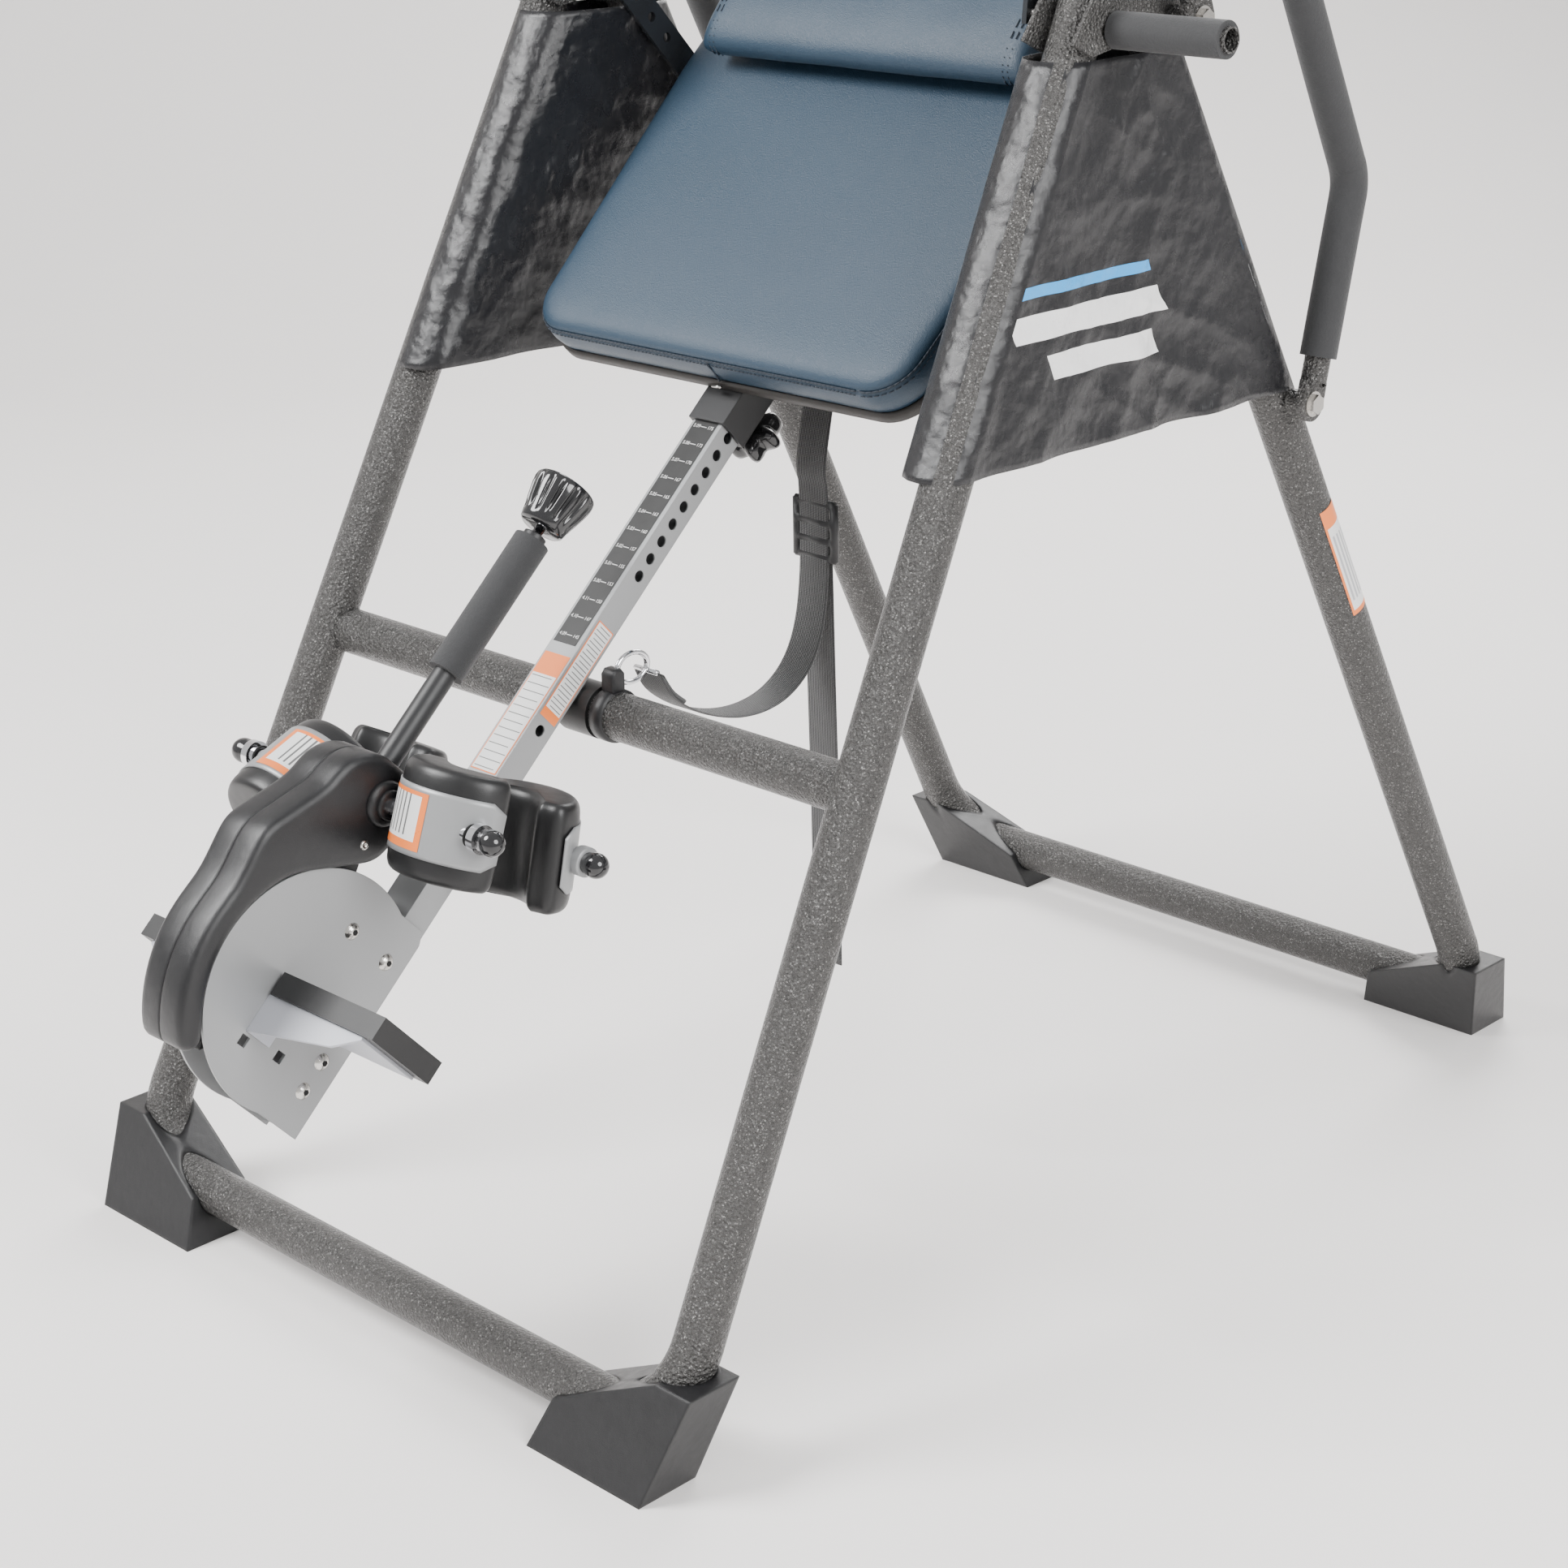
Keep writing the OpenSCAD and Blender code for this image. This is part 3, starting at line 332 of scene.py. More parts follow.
def resample(outline, gap):
    out = []
    n = len(outline)
    for i, p in enumerate(outline):
        q = outline[(i + 1) % n]
        run = math.dist(p, q)
        k = max(1, round(run / gap))
        out += [(p[0] + (q[0] - p[0]) * j / k, p[1] + (q[1] - p[1]) * j / k) for j in range(k)]
    return out


def slab(outline, profile, order=lambda a, b, h: (h, a, b)):
    """Rings of an outline at (height, inset) steps, so that its edges can be rounded."""
    return loft([[order(a, b, h) for a, b in inset(outline, d)] for h, d in profile])


def round_edge(h0, h1, r, steps=4):
    """A profile from h0 to h1 with both edges rounded by r."""
    first = [(h0 + r - r * math.cos(a), r - r * math.sin(a))
             for a in (math.pi / 2 * i / steps for i in range(steps + 1))]
    return first + [(h1 - (h - h0), d) for h, d in reversed(first)]


def softened(outline, times):
    """A closed outline with its corners averaged away."""
    for _ in range(times):
        outline = [tuple((a + 2 * b + d) / 4
                         for a, b, d in zip(outline[i - 1], p, outline[(i + 1) % len(outline)]))
                   for i, p in enumerate(outline)]
    return outline


def facing(side, x, u, w):
    """A place in bed space whose own Z axis points outwards on that side."""
    return at(side * x, u, w) @ Matrix.Rotation(side * math.pi / 2, 4, "Y")


def modify(o, kind, **settings):
    mod = o.modifiers.new(kind.lower(), kind)
    for key, value in settings.items():
        setattr(mod, key, value)
    return mod


# ---- camera, light and floor ----
def camera():
    az, el, roll = math.radians(44.69), math.radians(20.3), math.radians(-0.89)
    h = Vector((-math.sin(az) * math.cos(el), math.cos(az) * math.cos(el), -math.sin(el)))
    r = Vector((math.cos(az), math.sin(az), 0))
    u = r.cross(h)
    r2 = r * math.cos(roll) + u * math.sin(roll)
    u2 = -r * math.sin(roll) + u * math.cos(roll)
    turn = Matrix((r2, u2, -h)).transposed().to_4x4()
    data = bpy.data.cameras.new("camera")
    data.lens = 69.87
    data.sensor_width = 36
    cam = bpy.data.objects.new("camera", data)
    cam.matrix_world = Matrix.Translation((2.0096, -2.0996 + SHIFT / 1000, 1.4445)) @ turn
    bpy.context.scene.collection.objects.link(cam)
    bpy.context.scene.camera = cam


def light(name, place, aim, size, power):
    data = bpy.data.lights.new(name, "AREA")
    data.shape = "DISK"
    data.size = size
    data.energy = power
    o = bpy.data.objects.new(name, data)
    o.location = place
    o.rotation_euler = (Vector(aim) - Vector(place)).to_track_quat("-Z", "Y").to_euler()
    bpy.context.scene.collection.objects.link(o)


def studio():
    camera()
    light("key", (-1.8, -2.6, 3.6), (0, 0, 0.5), 2.2, 300)
    light("fill", (3.6, -0.6, 2.6), (0, 0, 0.5), 2.4, 190)
    light("back", (-1.5, 3.2, 3.2), (0, 0, 0.6), 2.6, 170)
    world = bpy.data.worlds.new("studio")
    world.use_nodes = True
    world.node_tree.nodes["Background"].inputs[0].default_value = (1, 1, 1, 1)
    world.node_tree.nodes["Background"].inputs[1].default_value = 0.8
    bpy.context.scene.world = world
    me = bpy.data.meshes.new("floor")
    sweep = [(-9.0, 0.0), (3.5, 0.0)]
    sweep += [(3.5 + 2 * math.sin(a), 2 - 2 * math.cos(a))
              for a in (math.pi / 2 * i / 12 for i in range(1, 13))] + [(5.5, 8.0)]
    turn = Matrix.Rotation(math.radians(44.7), 3, "Z")
    me.from_pydata([turn @ Vector((x, y, z)) for y, z in sweep for x in (-12, 12)], [],
                   [(2 * i, 2 * i + 1, 2 * i + 3, 2 * i + 2) for i in range(len(sweep) - 1)])
    for p in me.polygons:
        p.use_smooth = True
    me.materials.append(material("pale_floor", (0.88, 0.855, 0.84), 0.75, 0, 0.02, 3.0,
                                 [("noise", 60.0, 0.0004)]))
    floor = bpy.data.objects.new("floor", me)
    bpy.context.scene.collection.objects.link(floor)


# ---- CAD nodes that keep their shape ----
def dress_cad():
    looks = {
        "hammer": "front_leg_right front_leg_left front_floor_tube front_crossbar rear_leg_right "
                  "rear_leg_left rear_floor_tube apex_bracket_right apex_bracket_left "
                  "handlebar_right handlebar_left fold_links_front fold_links_rear",
        "plastic": "front_foot_right front_foot_left rear_foot_right rear_foot_left",
        "rubber": "bumper footrest_pad_right footrest_pad_left",
        "foam": "handlebar_foam_right handlebar_foam_left side_grips lever_foam",
        "chrome": "pull_pin strap_loop front_rod rear_rod",
        "zinc": "hinge_bolts handlebar_bolts ankle_bolts",
        "dark_steel": "pivot_arm_right pivot_arm_left pivot_latch_right pivot_latch_left",
        "satin": "bed_frame adjustment_sleeve lever_tube ratchet_rack",
        "board": "bed_board",
        "silver": "adjustment_tube ankle_plate_right ankle_plate_left",
        "pale": "footrest_bracket_right footrest_bracket_left",
    }
    for look, names in looks.items():
        for name in names.split():
            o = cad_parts[name]
            o.data.materials.clear()
            o.data.materials.append(M[look])


# ---- padded bed ----
def pad_outline():
    """Half widths at the foot and head, their corner radii, and the two ends along the bed."""
    f, s, r, h = 246, 264, 46, 80
    y0, y1 = -340, 700
    right = arc((f - r, y0 + r), r, -90, 0, 10) + [(s, -20)] + arc((s - h, y1 - h), h, 0, 90, 12)
    return right + [(-x, y) for x, y in reversed(right)]


def pad():
    """Crowned vinyl panel over a foam core, with a boxed side and a rolled edge."""
    side = [(0.0, 3.0), (1.0, 1.2), (6.0, 0.2), (16.0, -1.6), (26.0, -0.6), (29.0, 0.6),
            (30.0, 1.8), (31.0, 0.9), (33.5, 1.6), (36.5, 3.6), (38.6, 6.8)]
    rings = []
    for h, d in side:
        ring = inset(resample(pad_outline(), 9.0), d)
        rings.append([(x, y, PAD_AT + h + 0.35 * noise.noise(Vector((x, y, h)) * 0.02)) for x, y in ring])
    top = resample(pad_outline(), 9.0)
    for d in (11, 17, 26, 40):
        ring = inset(top, d) if d < 40 else [(x * 0.85, 180 + (y - 180) * 0.925) for x, y in inset(top, 4)]
        rings.append([(x, y, PAD_AT + 40 + 4.2 * (1 - math.exp(-(d - 8) / 16))) for x, y in ring])
    for k in (0.7, 0.5, 0.3, 0.12):
        rings.append([(x * k, 180 + (y - 180) * (k * 1.04), PAD_AT + 44.6 - 0.4 * (1 - k))
                      for x, y in inset(top, 4)])
    verts, faces = loft(rings)
    o = piece("bed_pad_cover", verts, faces, "vinyl", "bed", BED)
    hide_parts("bed_pad")
    for name, h, d in (("pad_stitch_upper", 26.5, -1.3), ("pad_piping", 31.0, 0.2)):
        ring = inset(resample(pad_outline(), 5.0), d)
        stitches([(x, y, PAD_AT + h) for x, y in ring], name, BED, 0.55 if "stitch" in name else 0.9,
                 "stitch" in name)
    # the boxing's short seam in the middle of the foot end
    seam = [(4 + 3 * math.sin(i / 3), -341.4, PAD_AT + 2 + 27 * i / 8) for i in range(9)]
    stitches(seam, "pad_boxing_seam", BED, 0.9, False)
    hem = inset(resample(pad_outline(), 8.0), -0.4)
    rows = [[(x * (1 + dx / 260), y + (dx if y > 180 else -dx) * 0.8, PAD_AT - h) for x, y in hem]
            for h, dx in ((0.2, -2.0), (0.2, 0.8), (5.0, 1.2), (12.0, 0.6), (12.6, -4))]
    piece("board_wrap", *loft(rows, cap=False), "board", "bed", BED)
    piece("pad_staple", *tube([(-6, -345.0, PAD_AT - 3), (6, -345.2, PAD_AT - 2)], 1.6),
          "zinc", "bed", BED)


def stitches(path, name, place, r, broken=True):
    verts, faces = [], []
    n = len(path)
    for i in range(0, n - 1):
        a, b = Vector(path[i]), Vector(path[(i + 1) % n])
        if broken:
            b = a + (b - a) * 0.66
        v, f = tube([a, b], r, 6, 1.0, Vector((0, 0, 1)) if abs((b - a).z) < 1 else Vector((0, 1, 0)))
        k = len(verts)
        verts += v
        faces += [tuple(k + q for q in face) for face in f]
    return piece(name, verts, faces, "thread", "bed", place)


def pillow():
    """Rolled lumbar cushion: crowned section, gathered ends with a double seam."""
    half, length, high = 208.0, 190.0, 54.0
    rows = []
    cols = 60
    for i in range(cols + 1):
        t = -1 + 2 * i / cols
        x = half * (math.sin(t * math.pi / 2) * 0.35 + t * 0.65)
        edge = (half - abs(x)) / half
        full = (1 - (1 - min(1, edge * 9)) ** 3) * 0.5 + 0.5
        if 15 < half - abs(x) < 21:
            full -= 0.012
        ring = []
        for j in range(40):
            a = 2 * math.pi * j / 40
            c, s = math.cos(a), math.sin(a)
            y = math.copysign(abs(c) ** 0.75, c) * length / 2 * (0.93 + 0.07 * full)
            z = math.copysign(abs(s) ** 0.85, s) * high / 2
            if s < 0:
                z = max(z, -high / 2 * 0.98)
            z *= full
            soft = 1.1 * noise.noise(Vector((x * 0.016, y * 0.03, z * 0.03 + 4)))
            ring.append((x, 77 + y, PAD_TOP + 2 + high / 2 + z + soft))
        rows.append(ring)
    verts, faces = loft(rows)
    o = piece("lumbar_pillow_cover", verts, faces, "vinyl", "bed", BED)
    modify(o, "SUBSURF", levels=1, render_levels=1)
    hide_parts("lumbar_pillow")
    for side in (-1, 1):
        for k, off in enumerate((15.5, 21.5)):
            x = side * (half - off)
            ring = []
            for j in range(0, 40):
                a = 2 * math.pi * j / 40
                c, s = math.cos(a), math.sin(a)
                full = (1 - (1 - min(1, off / half * 9)) ** 3) * 0.5 + 0.5
                y = math.copysign(abs(c) ** 0.75, c) * length / 2 * (0.93 + 0.07 * full)
                z = math.copysign(abs(s) ** 0.85, s) * high / 2 * full
                ring.append((x, 77 + y * 1.004, PAD_TOP + 2 + high / 2 + z * 1.012))
            ring = [p for p in ring if p[2] > PAD_TOP + 6]
            ring.sort(key=lambda p: p[1])
            stitches(ring, f"pillow_stitch_{'right' if side > 0 else 'left'}_{k}", BED, 0.6)


# ---- side covers ----
LEAN_F, LEAN_R, SPLAY = 0.50718, 0.52373, 0.04052


def cover_cut(radius, inner, low=792.0, high=1122.0):
    """A cover's flat width, height and cut area: the legs' spacing, twice, and the loops round both."""
    def girth(z):
        span = 34 + (1180 - z) * LEAN_R + (1225 - z) * LEAN_F
        return (2 * span + math.pi * ((radius + inner) / 2 + radius * 1.1)) / 1000
    tall = (high - low) * math.hypot(1, SPLAY) / 1000
    return girth(low), tall, (girth(low) + girth(high)) / 2 * tall


def cover(side):
    """A sewn nylon sleeve pulled over the front and rear legs, slack between them."""
    name = "right" if side > 0 else "left"
    rows, uvs = [], []
    high, n_face, n_fold = 60, 84, 8
    radius, inner = 24.4, 45.0     # the inner face hangs clear of the fold links
    mid, half = (radius - inner) / 2, (radius + inner) / 2
    for i in range(high + 1):
        v = i / high
        ring = []

        def spot(x_off, y, t, face):
            hem = 784 + (y + 256) / 530 * 16
            z = hem + (1122 - hem) * v
            yf, yr = -(1225 - z) * LEAN_F, 34 + (1180 - z) * LEAN_R
            if face is not None:
                y = yr + (yf - yr) * t if face > 0 else yf + (yr - yf) * t
            else:
                y = (yf if t < 0.5 else yr) + y
            slack = math.sin(math.pi * t) ** 0.6 if face is not None else 0.12
            p = Vector((y * 0.011, z * 0.011, 3.0 * side + (5 if face == -1 else 0)))
            soft = noise.noise(p * 1.3) * 7
            wide_fold = Vector((y * 0.010 + z * 0.016, z * 0.006 - y * 0.004, 9 * side))
            fine_fold = Vector((y * 0.02 - z * 0.012, z * 0.017, 7 * side + 2))
            crease = (1 - abs(noise.noise(wide_fold))) ** 5
            crease2 = (1 - abs(noise.noise(fine_fold))) ** 6
            drop = slack * (soft + 6 * crease + 4 * crease2 - 4)
            low = max(0.0, 1 - v * 6)
            ruffle = slack * low * 6 * math.sin(y * 0.045 + 2 * side)
            puff = 0.0 if face is None else (-3.0 if face > 0 else 6.0)
            x = 333 + (1225 - z) * SPLAY
            push = puff * math.sin(math.pi * t) ** 0.7 if face is not None else 0
            sign = 1 if x_off > 0 else -1
            x += x_off + sign * (push + (drop + ruffle) * (0.75 if face == 1 else 0.45))
            return (side * x, y, z)

        loop = []
        for j in range(n_face + 1):
            t = j / n_face
            loop.append(spot(radius, 0, t, 1))
        for j in range(1, n_fold):
            a = math.pi * j / n_fold
            loop.append(spot(mid + half * math.cos(a), -radius * 1.1 * math.sin(a), 0.0, None))
        for j in range(n_face + 1):
            loop.append(spot(-inner, 0, j / n_face, -1))
        for j in range(1, n_fold):
            a = math.pi * j / n_fold
            loop.append(spot(mid - half * math.cos(a), radius * 1.1 * math.sin(a), 1.0, None))
        run = 0.0
        for j, p in enumerate(loop):
            if 0 < j <= n_face:
                run += math.dist(p, loop[j - 1]) / 1000
            ring.append(p)
            uvs.append((run if j <= n_face else 9.0, v * 0.33))
        rows.append(ring)
    verts, faces = loft(rows, cap=False)
    o = piece(f"side_cover_{name}_cloth", verts, faces, "nylon", None, WORLD, uvs)
    modify(o, "SOLIDIFY", thickness=0.0008, offset=0)
    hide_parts(f"side_cover_{name}")
    wide, tall, cut = cover_cut(radius, inner)
    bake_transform(o)


# ---- tether strap ----
BAR = (-10 - 286 * math.cos(TILT) - (TUBE - 34) * math.sin(TILT),
       1165 - 286 * math.sin(TILT) + (TUBE - 34) * math.cos(TILT))
STRAP = [(-292, 572), (-278, 548), (-252, 528), (-222, 514), (-190, 505), (-158, 503),
         (-128, 509), (-103, 524), (-86, 546), (-76, 574), (-71, 606), (-69, 640),
         (-69, 672), (-70, 702), (-72, 728), (BAR[0] + 4.2, BAR[1] - 4)]
TAIL = [(-64.5, 660), (-63.5, 610), (-62, 540), (-60, 460), (-58, 380), (-57, 300), (-56, 205)]
STRAP_X = 47.0


def smooth_path(points, k=6):
    out = []
    for i in range(len(points) - 1):
        p0, p1 = points[max(i - 1, 0)], points[i]
        p2, p3 = points[i + 1], points[min(i + 2, len(points) - 1)]
        for j in range(k):
            t = j / k
            out.append(tuple(0.5 * (2 * b + (c - a) * t + (2 * a - 5 * b + 4 * c - d) * t * t
                                    + (3 * b - a - 3 * c + d) * t ** 3)
                             for a, b, c, d in zip(p0, p1, p2, p3)))
    return out + [tuple(points[-1])]


def ribbon(name, route, look="web", wide=38.0, thick=1.9):
    path = smooth_path(route)
    rows, uvs, run = [], [], 0.0
    for i, p in enumerate(path):
        q0, q1 = path[max(i - 1, 0)], path[min(i + 1, len(path) - 1)]
        d = Vector((q1[0] - q0[0], q1[1] - q0[1])).normalized()
        nrm = Vector((-d.y, d.x))
        if i:
            run += math.dist(p, path[i - 1]) / 1000
        ring = []
        section = [(-1, -0.6), (-0.9, -1), (0.9, -1), (1, -0.6), (1, 0.6), (0.9, 1), (-0.9, 1), (-1, 0.6)]
        for sx, sn in section:
            off = nrm * (sn * thick / 2)
            ring.append((STRAP_X + sx * wide / 2, p[0] + off.x, p[1] + off.y))
            uvs.append((sx * wide / 2000, run))
        rows.append(ring)
    verts, faces = loft(rows)
    o = piece(name, verts, faces, look, "front_frame", WORLD, uvs, slot="webbing")
    line = [WORLD @ Vector((STRAP_X, y, z)) for y, z in path]
    return o, line, sum((b - a).length for a, b in zip(line, line[1:]))


def tether():
    # ladder buckle with three slots
    parts_v, parts_f = [], []

    def bar(a, b, r, flat=0.5):
        v, f = tube([a, b], r, 12, flat, Vector((0, 0, 1)) if a[2] == b[2] else Vector((1, 0, 0)))
        k = len(parts_v)
        parts_v.extend(v)
        parts_f.extend([tuple(k + q for q in face) for face in f])

    for z in (634, 650, 668, 686):
        bar((STRAP_X - 26, -67, z), (STRAP_X + 26, -67, z), 5.0, 0.7)
    for x in (-24.5, 24.5):
        bar((STRAP_X + x, -67, 632), (STRAP_X + x, -67, 688), 4.6, 0.9)
    buckle = piece("ladder_buckle", parts_v, parts_f, "plastic", "front_frame", WORLD)
    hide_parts("strap_buckle")
    main, line, length = ribbon("tether_webbing", STRAP)
    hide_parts("tether_strap")
    # sewn end fold at the ring
    fold, _, _ = ribbon("tether_sewn_end", [(-289, 569), (-277, 551), (-262, 538)], wide=37, thick=4.6)
    tuple(line[0])
    [tuple(p) for p in line]
    tail, line, length = ribbon("tether_tail", TAIL)
    tuple(line[0])
    [tuple(p) for p in line]
    # lug and snap ring on the crossbar
    bar_y, bar_z = -334.2, 539.6
    lug = lathe([(22.6, -8), (25.2, -7), (25.6, 0), (25.2, 7), (22.6, 8)], 40)
    place = WORLD @ Matrix.Translation((46, bar_y, bar_z)) @ Matrix.Rotation(math.pi / 2, 4, "Y")
    lug_o = piece("tether_lug", *lug, "plastic", "front_frame", place)
    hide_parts("tether_ring")
    piece("tether_lug_tab", *slab(resample([(-8, 22), (8, 22), (8, 40), (4, 45), (-4, 45), (-8, 40)], 3),
                                  round_edge(-8, 8, 2)), "plastic", "front_frame",
          WORLD @ Matrix.Translation((46, bar_y, bar_z)))
    piece("tether_snap_ring", *torus((46, bar_y + 24, bar_z + 40), 14, 2.5, stretch=1.35), "chrome",
          "front_frame")
    piece("tether_snap_bar", *tube([(46 - 15, bar_y + 42, bar_z + 33), (46 + 15, bar_y + 42, bar_z + 33)],
                                   2.6, 14, 1.0, Vector((0, 0, 1))), "chrome", "front_frame")


# ---- ankle clamp ----
def housing(side):
    c = CLAMP
    fu, fw = ROD_FRONT
    outline = (arc(c, 141, 142, 78, 20) + [(-948, c[1] + 148)] + arc((fu - 12, fw + 16), 46, 100, 0, 14)
               + [(fu + 34, fw - 26), (fu - 4, fw - 38), (fu - 44, fw - 32)]
               + arc(c, 116, 52, 142, 26))
    outline = softened(resample(outline, 6.0)[::-1], 5)
    edge = [(0.0, 1.4), (0.7, 0.2), (2.0, 0.0), (22.0, 0.0), (26.0, 0.8), (28.6, 2.4),
            (30.2, 4.8), (31.0, 8.0)]
    rows = [[(side * h, a, b) for a, b in inset(outline, d)] for h, d in edge]
    verts, faces = loft(rows)
    name = "right" if side > 0 else "left"
    o = piece(f"clamp_shell_{name}", verts, faces, "plastic", "clamp_arm", BED)
    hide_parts(f"housing_{name}")
    place = facing(side, 30.5, fu, fw)
    piece(f"clamp_boss_{name}", *lathe([(21, -1), (21, 2), (19, 5), (14, 6), (10, 6), (9, 3)], 48),
          "plastic", "clamp_arm", place)
    place = facing(side, 30.8, -903, fw - 6)
    piece(f"clamp_screw_{name}", *lathe([(4.6, -1), (4.6, 0.6), (3.4, 1.6), (1.6, 1.8), (1.4, 0.6)], 20),
          "zinc", "clamp_arm", place)


def saddle(name, body, node_name, centre, side, turn):
    """A moulded cushion curved round the ankle, with a bent steel plate and its label on the back."""
    u, w = centre
    place = at(side * 96, u, w) @ Matrix.Rotation(math.radians(turn), 4, "X")
    outer = [(62 * math.sin(a), -38 + 62 * math.cos(a)) for a in
             (math.radians(-62 + 124 * i / 22) for i in range(23))]
    tip = arc((47, -24), 11, 20, -110, 8)
    inner = [(44 * math.sin(a), -68 + 46 * math.cos(a)) for a in
             (math.radians(56 - 112 * i / 16) for i in range(17))]
    tip_l = [(-x, y) for x, y in reversed(tip)]
    section = softened(resample(outer + tip + inner + tip_l, 4.0)[::-1], 4)
    rows = []
    for v, d in ((-50, 9), (-49.2, 6), (-47, 3), (-43, 1), (-36, 0), (-18, -0.4), (0, -0.5), (18, -0.4),
                 (36, 0), (43, 1), (47, 3), (49.2, 6), (50, 9)):
        rows.append([(side * a, v, b) for a, b in inset(section, d)])
    o = piece(name, *loft(rows), "rubber", body, place)
    modify(o, "SUBSURF", levels=1, render_levels=1)
    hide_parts(node_name)

    def strip(tag, x0, x1, half, lift, looks, cells=None):
        """A patch that follows the outer curve; cells picks a look for each quad."""
        verts, faces, mats = [], [], []
        nx, nv = 28, 14
        for i in range(nx + 1):
            a = math.asin(max(-1, min(1, (x0 + (x1 - x0) * i / nx) / 62)))
            end = min(1.0, 4.0 * (1 - abs(2 * i / nx - 1)) + 0.72)
            for j in range(nv + 1):
                v = half * (2 * j / nv - 1) * (end if "plate" in tag else 1)
                r = 62.6 + lift
                verts.append((side * r * math.sin(a), v, -38 + r * math.cos(a)))
        for i in range(nx):
            for j in range(nv):
                k, m = i * (nv + 1) + j, (i + 1) * (nv + 1) + j
                q = (k, m, m + 1, k + 1)
                faces.append(q if side > 0 else q[::-1])
                mats.append(cells(i / nx, j / nv) if cells else 0)
        p = piece(f"{name}_{tag}", verts, faces, None, body, place, looks=looks)
        for k, poly in enumerate(p.data.polygons):
            poly.material_index = mats[k]
        return p

    plate = strip("plate", -54, 60.5, 30, 0.6, ["silver"])
    modify(plate, "SOLIDIFY", thickness=0.0016, offset=-1)

    def cells(a, b):
        if a < 0.05 or a > 0.94 or b < 0.08 or b > 0.92:
            return 1
        if 0.1 < a < 0.75 and 0.2 < b < 0.86 and int(a * 28) % 3 == 0:
            return 2
        return 1 if a > 0.86 else 0

    strip("label", -46, 14, 25, 1.0, ["white", "orange", "ink"], cells)
    # a near-black ring round the rod at the cushion's end: painted shade in the gap of the rod's hole
    hole = torus((side * 51, 0, 0), 9.4, 1.2)
    piece(f"{name}_hole", *hole, "hole", body, place)


def rod_ends(tag, body, centre):
    u, w = centre
    for side in (-1, 1):
        s = "right" if side > 0 else "left"
        place = facing(side, 160, u, w)
        cap = [(8.3, 0), (9.6, 1), (9.8, 6), (11.4, 9)] + [
            (11.6 * math.cos(a), 13 + 11.6 * math.sin(a))
            for a in (math.pi / 2 * i / 10 for i in range(11))]
        piece(f"{tag}_cap_{s}", *lathe(cap, 40), "gloss", body, place)
        place = facing(side, 153 if tag == "rear_rod" else 31, u, w)
        collar = [(8.2, -1), (13.4, -1), (13.6, 0), (13.6, 8.6), (13, 9.4), (8.2, 9.4)]
        piece(f"{tag}_collar_{s}", *lathe(collar, 40),
              "silver" if tag == "rear_rod" else "plastic", body, place)


def palm_knob():
    def flute(a, h, r):
        if h < 9 or h > 44:
            return r
        return r - 3.4 * max(0.0, math.cos(15 * a)) ** 0.6 * math.sin(math.pi * (h - 9) / 35) ** 0.5

    profile = [(9, 0), (19, 0), (21.5, 2), (22.5, 6), (23, 9), (24, 14), (25.8, 20), (27.6, 27), (29.2, 34),
               (30, 40), (29.6, 44), (28.4, 46), (27, 46.8), (26.2, 46), (25, 46.6), (18, 49),
               (9, 50.4), (1, 51)]
    place = at(0, -572, LEVER) @ Matrix.Rotation(-math.pi / 2, 4, "X")
    o = piece("palm_knob_fluted", *lathe(profile, 180, flute), "gloss", "palm_knob", place)
    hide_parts("palm_knob")
    piece("palm_knob_stem", *lathe([(5, -26), (5, 1)], 24), "chrome", "palm_knob", place)


def clamp_knob():
    place = at(0, -346, TUBE - 19 - 14 - 24)

    def lobes(a, h, r):
        return r + (4.2 * math.cos(6 * a) if r > 8 else 0)

    profile = [(4, 36), (4, 24), (9, 23), (13, 24), (19, 22.5), (22.6, 20), (24, 16), (24, 8),
               (22.5, 3), (18, 0), (6, -0.6), (1, -0.6)]
    o = piece("clamp_knob_lobed", *lathe(profile, 120, lobes), "gloss", "clamp_knob", place)
    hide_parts("clamp_knob")


# ---- labels and scale ----
def text_mesh(word, size):
    data = bpy.data.curves.new("digits", "FONT")
    data.body = word
    data.size = size
    data.align_x = "CENTER"
    data.align_y = "CENTER"
    o = bpy.data.objects.new("digits", data)
    bpy.context.scene.collection.objects.link(o)
    bpy.context.view_layer.update()
    me = o.evaluated_get(bpy.context.evaluated_depsgraph_get()).to_mesh()
    verts = [tuple(v.co) for v in me.vertices]
    faces = [tuple(p.vertices) for p in me.polygons]
    o.to_mesh_clear()
    bpy.data.objects.remove(o)
    return verts, faces


def quad(x0, x1, y0, y1, z=0.0):
    return [(x0, y0, z), (x1, y0, z), (x1, y1, z), (x0, y1, z)], [(0, 1, 2, 3)]


def patch(name, body, place, parts, looks):
    """Thin printed pieces: parts are (vertices, faces, look index)."""
    verts, faces, mats = [], [], []
    for v, f, m in parts:
        k = len(verts)
        verts += v
        faces += [tuple(k + q for q in face) for face in f]
        mats += [m] * len(f)
    o = piece(name, verts, faces, None, body, place, looks=looks)
    for k, poly in enumerate(o.data.polygons):
        poly.material_index = mats[k]
        poly.use_smooth = False
    return o


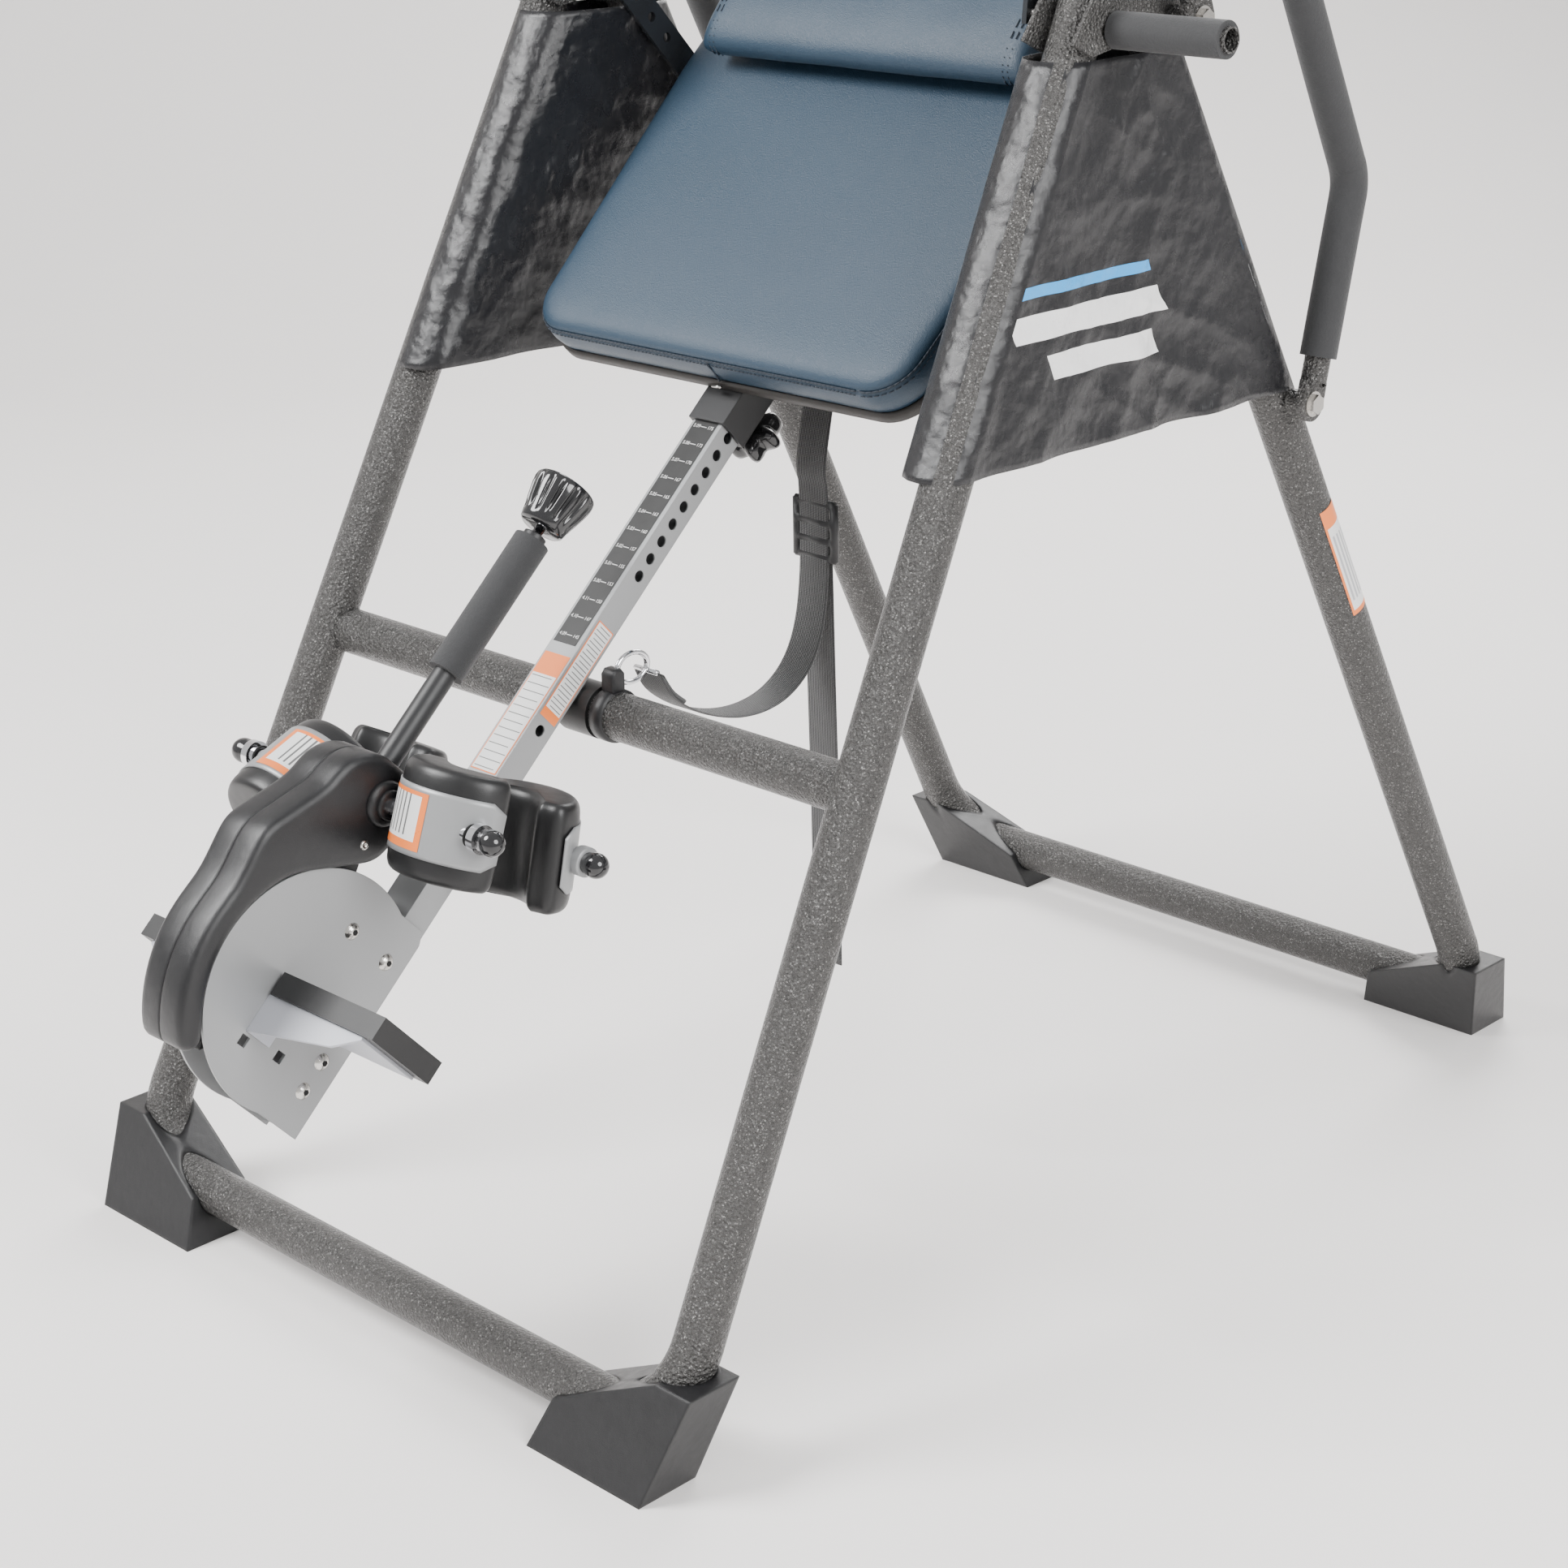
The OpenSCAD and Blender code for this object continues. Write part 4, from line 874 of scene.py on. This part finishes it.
def label_block(w, h, rows, header):
    """A generic label: orange frame, white field and plain ruled lines."""
    parts = [(*quad(-w / 2, w / 2, -h / 2, h / 2, 0.25), 1), (*quad(-w / 2 + 1.2, w / 2 - 1.2, -h / 2 + 1.2,
                                                                  h / 2 - 1.2 - header, 0.4), 0)]
    for i in range(rows):
        y = -h / 2 + 4 + (h - header - 8) * i / max(1, rows - 1)
        end = w / 2 - 2.6 - (2.5 if i % 3 == 0 else 0)
        parts.append((*quad(-w / 2 + 2.6, end, y - 0.45, y + 0.45, 0.5), 2))
    return parts


def printed():
    top = TUBE + 15
    strip = [(*quad(-16, 14, -631, -376, 0.3), 0)]
    feet, inches = 4, 9
    for i in range(13):
        u = -622 + i * 20
        strip.append((*quad(-4.5, 3, u - 0.35, u + 0.35, 0.5), 1))
        for word, x in ((f"{feet}.{inches:02d}", -9.6), (str(145 + round(2.5 * i)), 8.2)):
            v, f = text_mesh(word, 5.2)
            strip.append(([(a + x, b + u, 0.5) for a, b, _ in v], f, 1))
        inches += 1
        if inches == 12:
            feet, inches = feet + 1, 0
    patch("height_scale", "ankle_slide", at(0, 0, top), strip, ["ink_black", "white"])
    patch("front_label", "ankle_slide", at(0, -708, top), label_block(34, 130, 13, 22),
          ["white", "orange", "ink"])
    place = at(19, -650, TUBE) @ Matrix.Rotation(math.pi / 2, 4, "Y") @ Matrix.Rotation(math.pi, 4, "Z")
    patch("side_label", "ankle_slide", place, label_block(24, 104, 22, 8), ["white", "orange", "ink"])
    # label on the near rear leg
    low, highz = 548.0, 664.0
    verts, faces, mats = [], [], []
    axis = Vector((SPLAY, LEAN_R, -1)).normalized()
    out = Vector((0.93, -0.36, 0)).normalized()
    out = (out - axis * out.dot(axis)).normalized()
    across = axis.cross(out)
    for i in range(25):
        z = low + (highz - low) * i / 24
        c = Vector((333 + (1225 - z) * SPLAY, 34 + (1180 - z) * LEAN_R, z))
        for j in range(13):
            a = math.radians(-38 + 76 * j / 12 - 30)
            verts.append(tuple(c + 22.9 * (math.cos(a) * out + math.sin(a) * across)))
    for i in range(24):
        for j in range(12):
            faces.append((i * 13 + j, i * 13 + j + 1, (i + 1) * 13 + j + 1, (i + 1) * 13 + j))
            edge = i in (0, 23) or j in (0, 11) or i > 19
            mats.append(1 if edge else 2 if (j % 2 and 2 < i < 18) else 0)
    o = piece("leg_label", verts, faces, None, "rear_frame", WORLD, looks=["white", "orange", "ink_soft"])
    for k, poly in enumerate(o.data.polygons):
        poly.material_index = mats[k]


def bolt_sockets():
    """Dark hexagon prisms set into the ankle plates' button heads: painted shade standing in for their
    socket recesses.
    """
    spots = [(-966, CLAMP[1] - 2), (-968, TUBE + 8), (-1072, TUBE + 8), (-1102, TUBE + 8), CLAMP]
    for side in (-1, 1):
        parts = []
        for u, w in spots:
            ring = [(side * 26.75, u + 2.9 * math.cos(a), w + 2.9 * math.sin(a))
                    for a in (math.pi / 3 * i for i in range(6))]
            back = [(side * 25.2, u + 2.4 * math.cos(a), w + 2.4 * math.sin(a))
                    for a in (math.pi / 3 * i for i in range(6))]
            parts.append((*loft([ring, back]), 0))
        patch(f"bolt_sockets_{'right' if side > 0 else 'left'}", "ankle_slide", BED, parts, ["hole"])


studio()
dress_cad()
pad()
pillow()
cover(1)
cover(-1)
tether()
housing(1)
housing(-1)
saddle("front_saddle_right", "front_cushion_right", "front_cushion_right", ROD_FRONT, 1, 28)
saddle("front_saddle_left", "front_cushion_left", "front_cushion_left", ROD_FRONT, -1, -20)
saddle("rear_saddle_right", "rear_cushion_right", "rear_cushion_right", ROD_REAR, 1, 215)
saddle("rear_saddle_left", "rear_cushion_left", "rear_cushion_left", ROD_REAR, -1, 200)
rod_ends("front_rod", "clamp_arm", ROD_FRONT)
rod_ends("rear_rod", "ankle_slide", ROD_REAR)
palm_knob()
clamp_knob()
printed()
bolt_sockets()
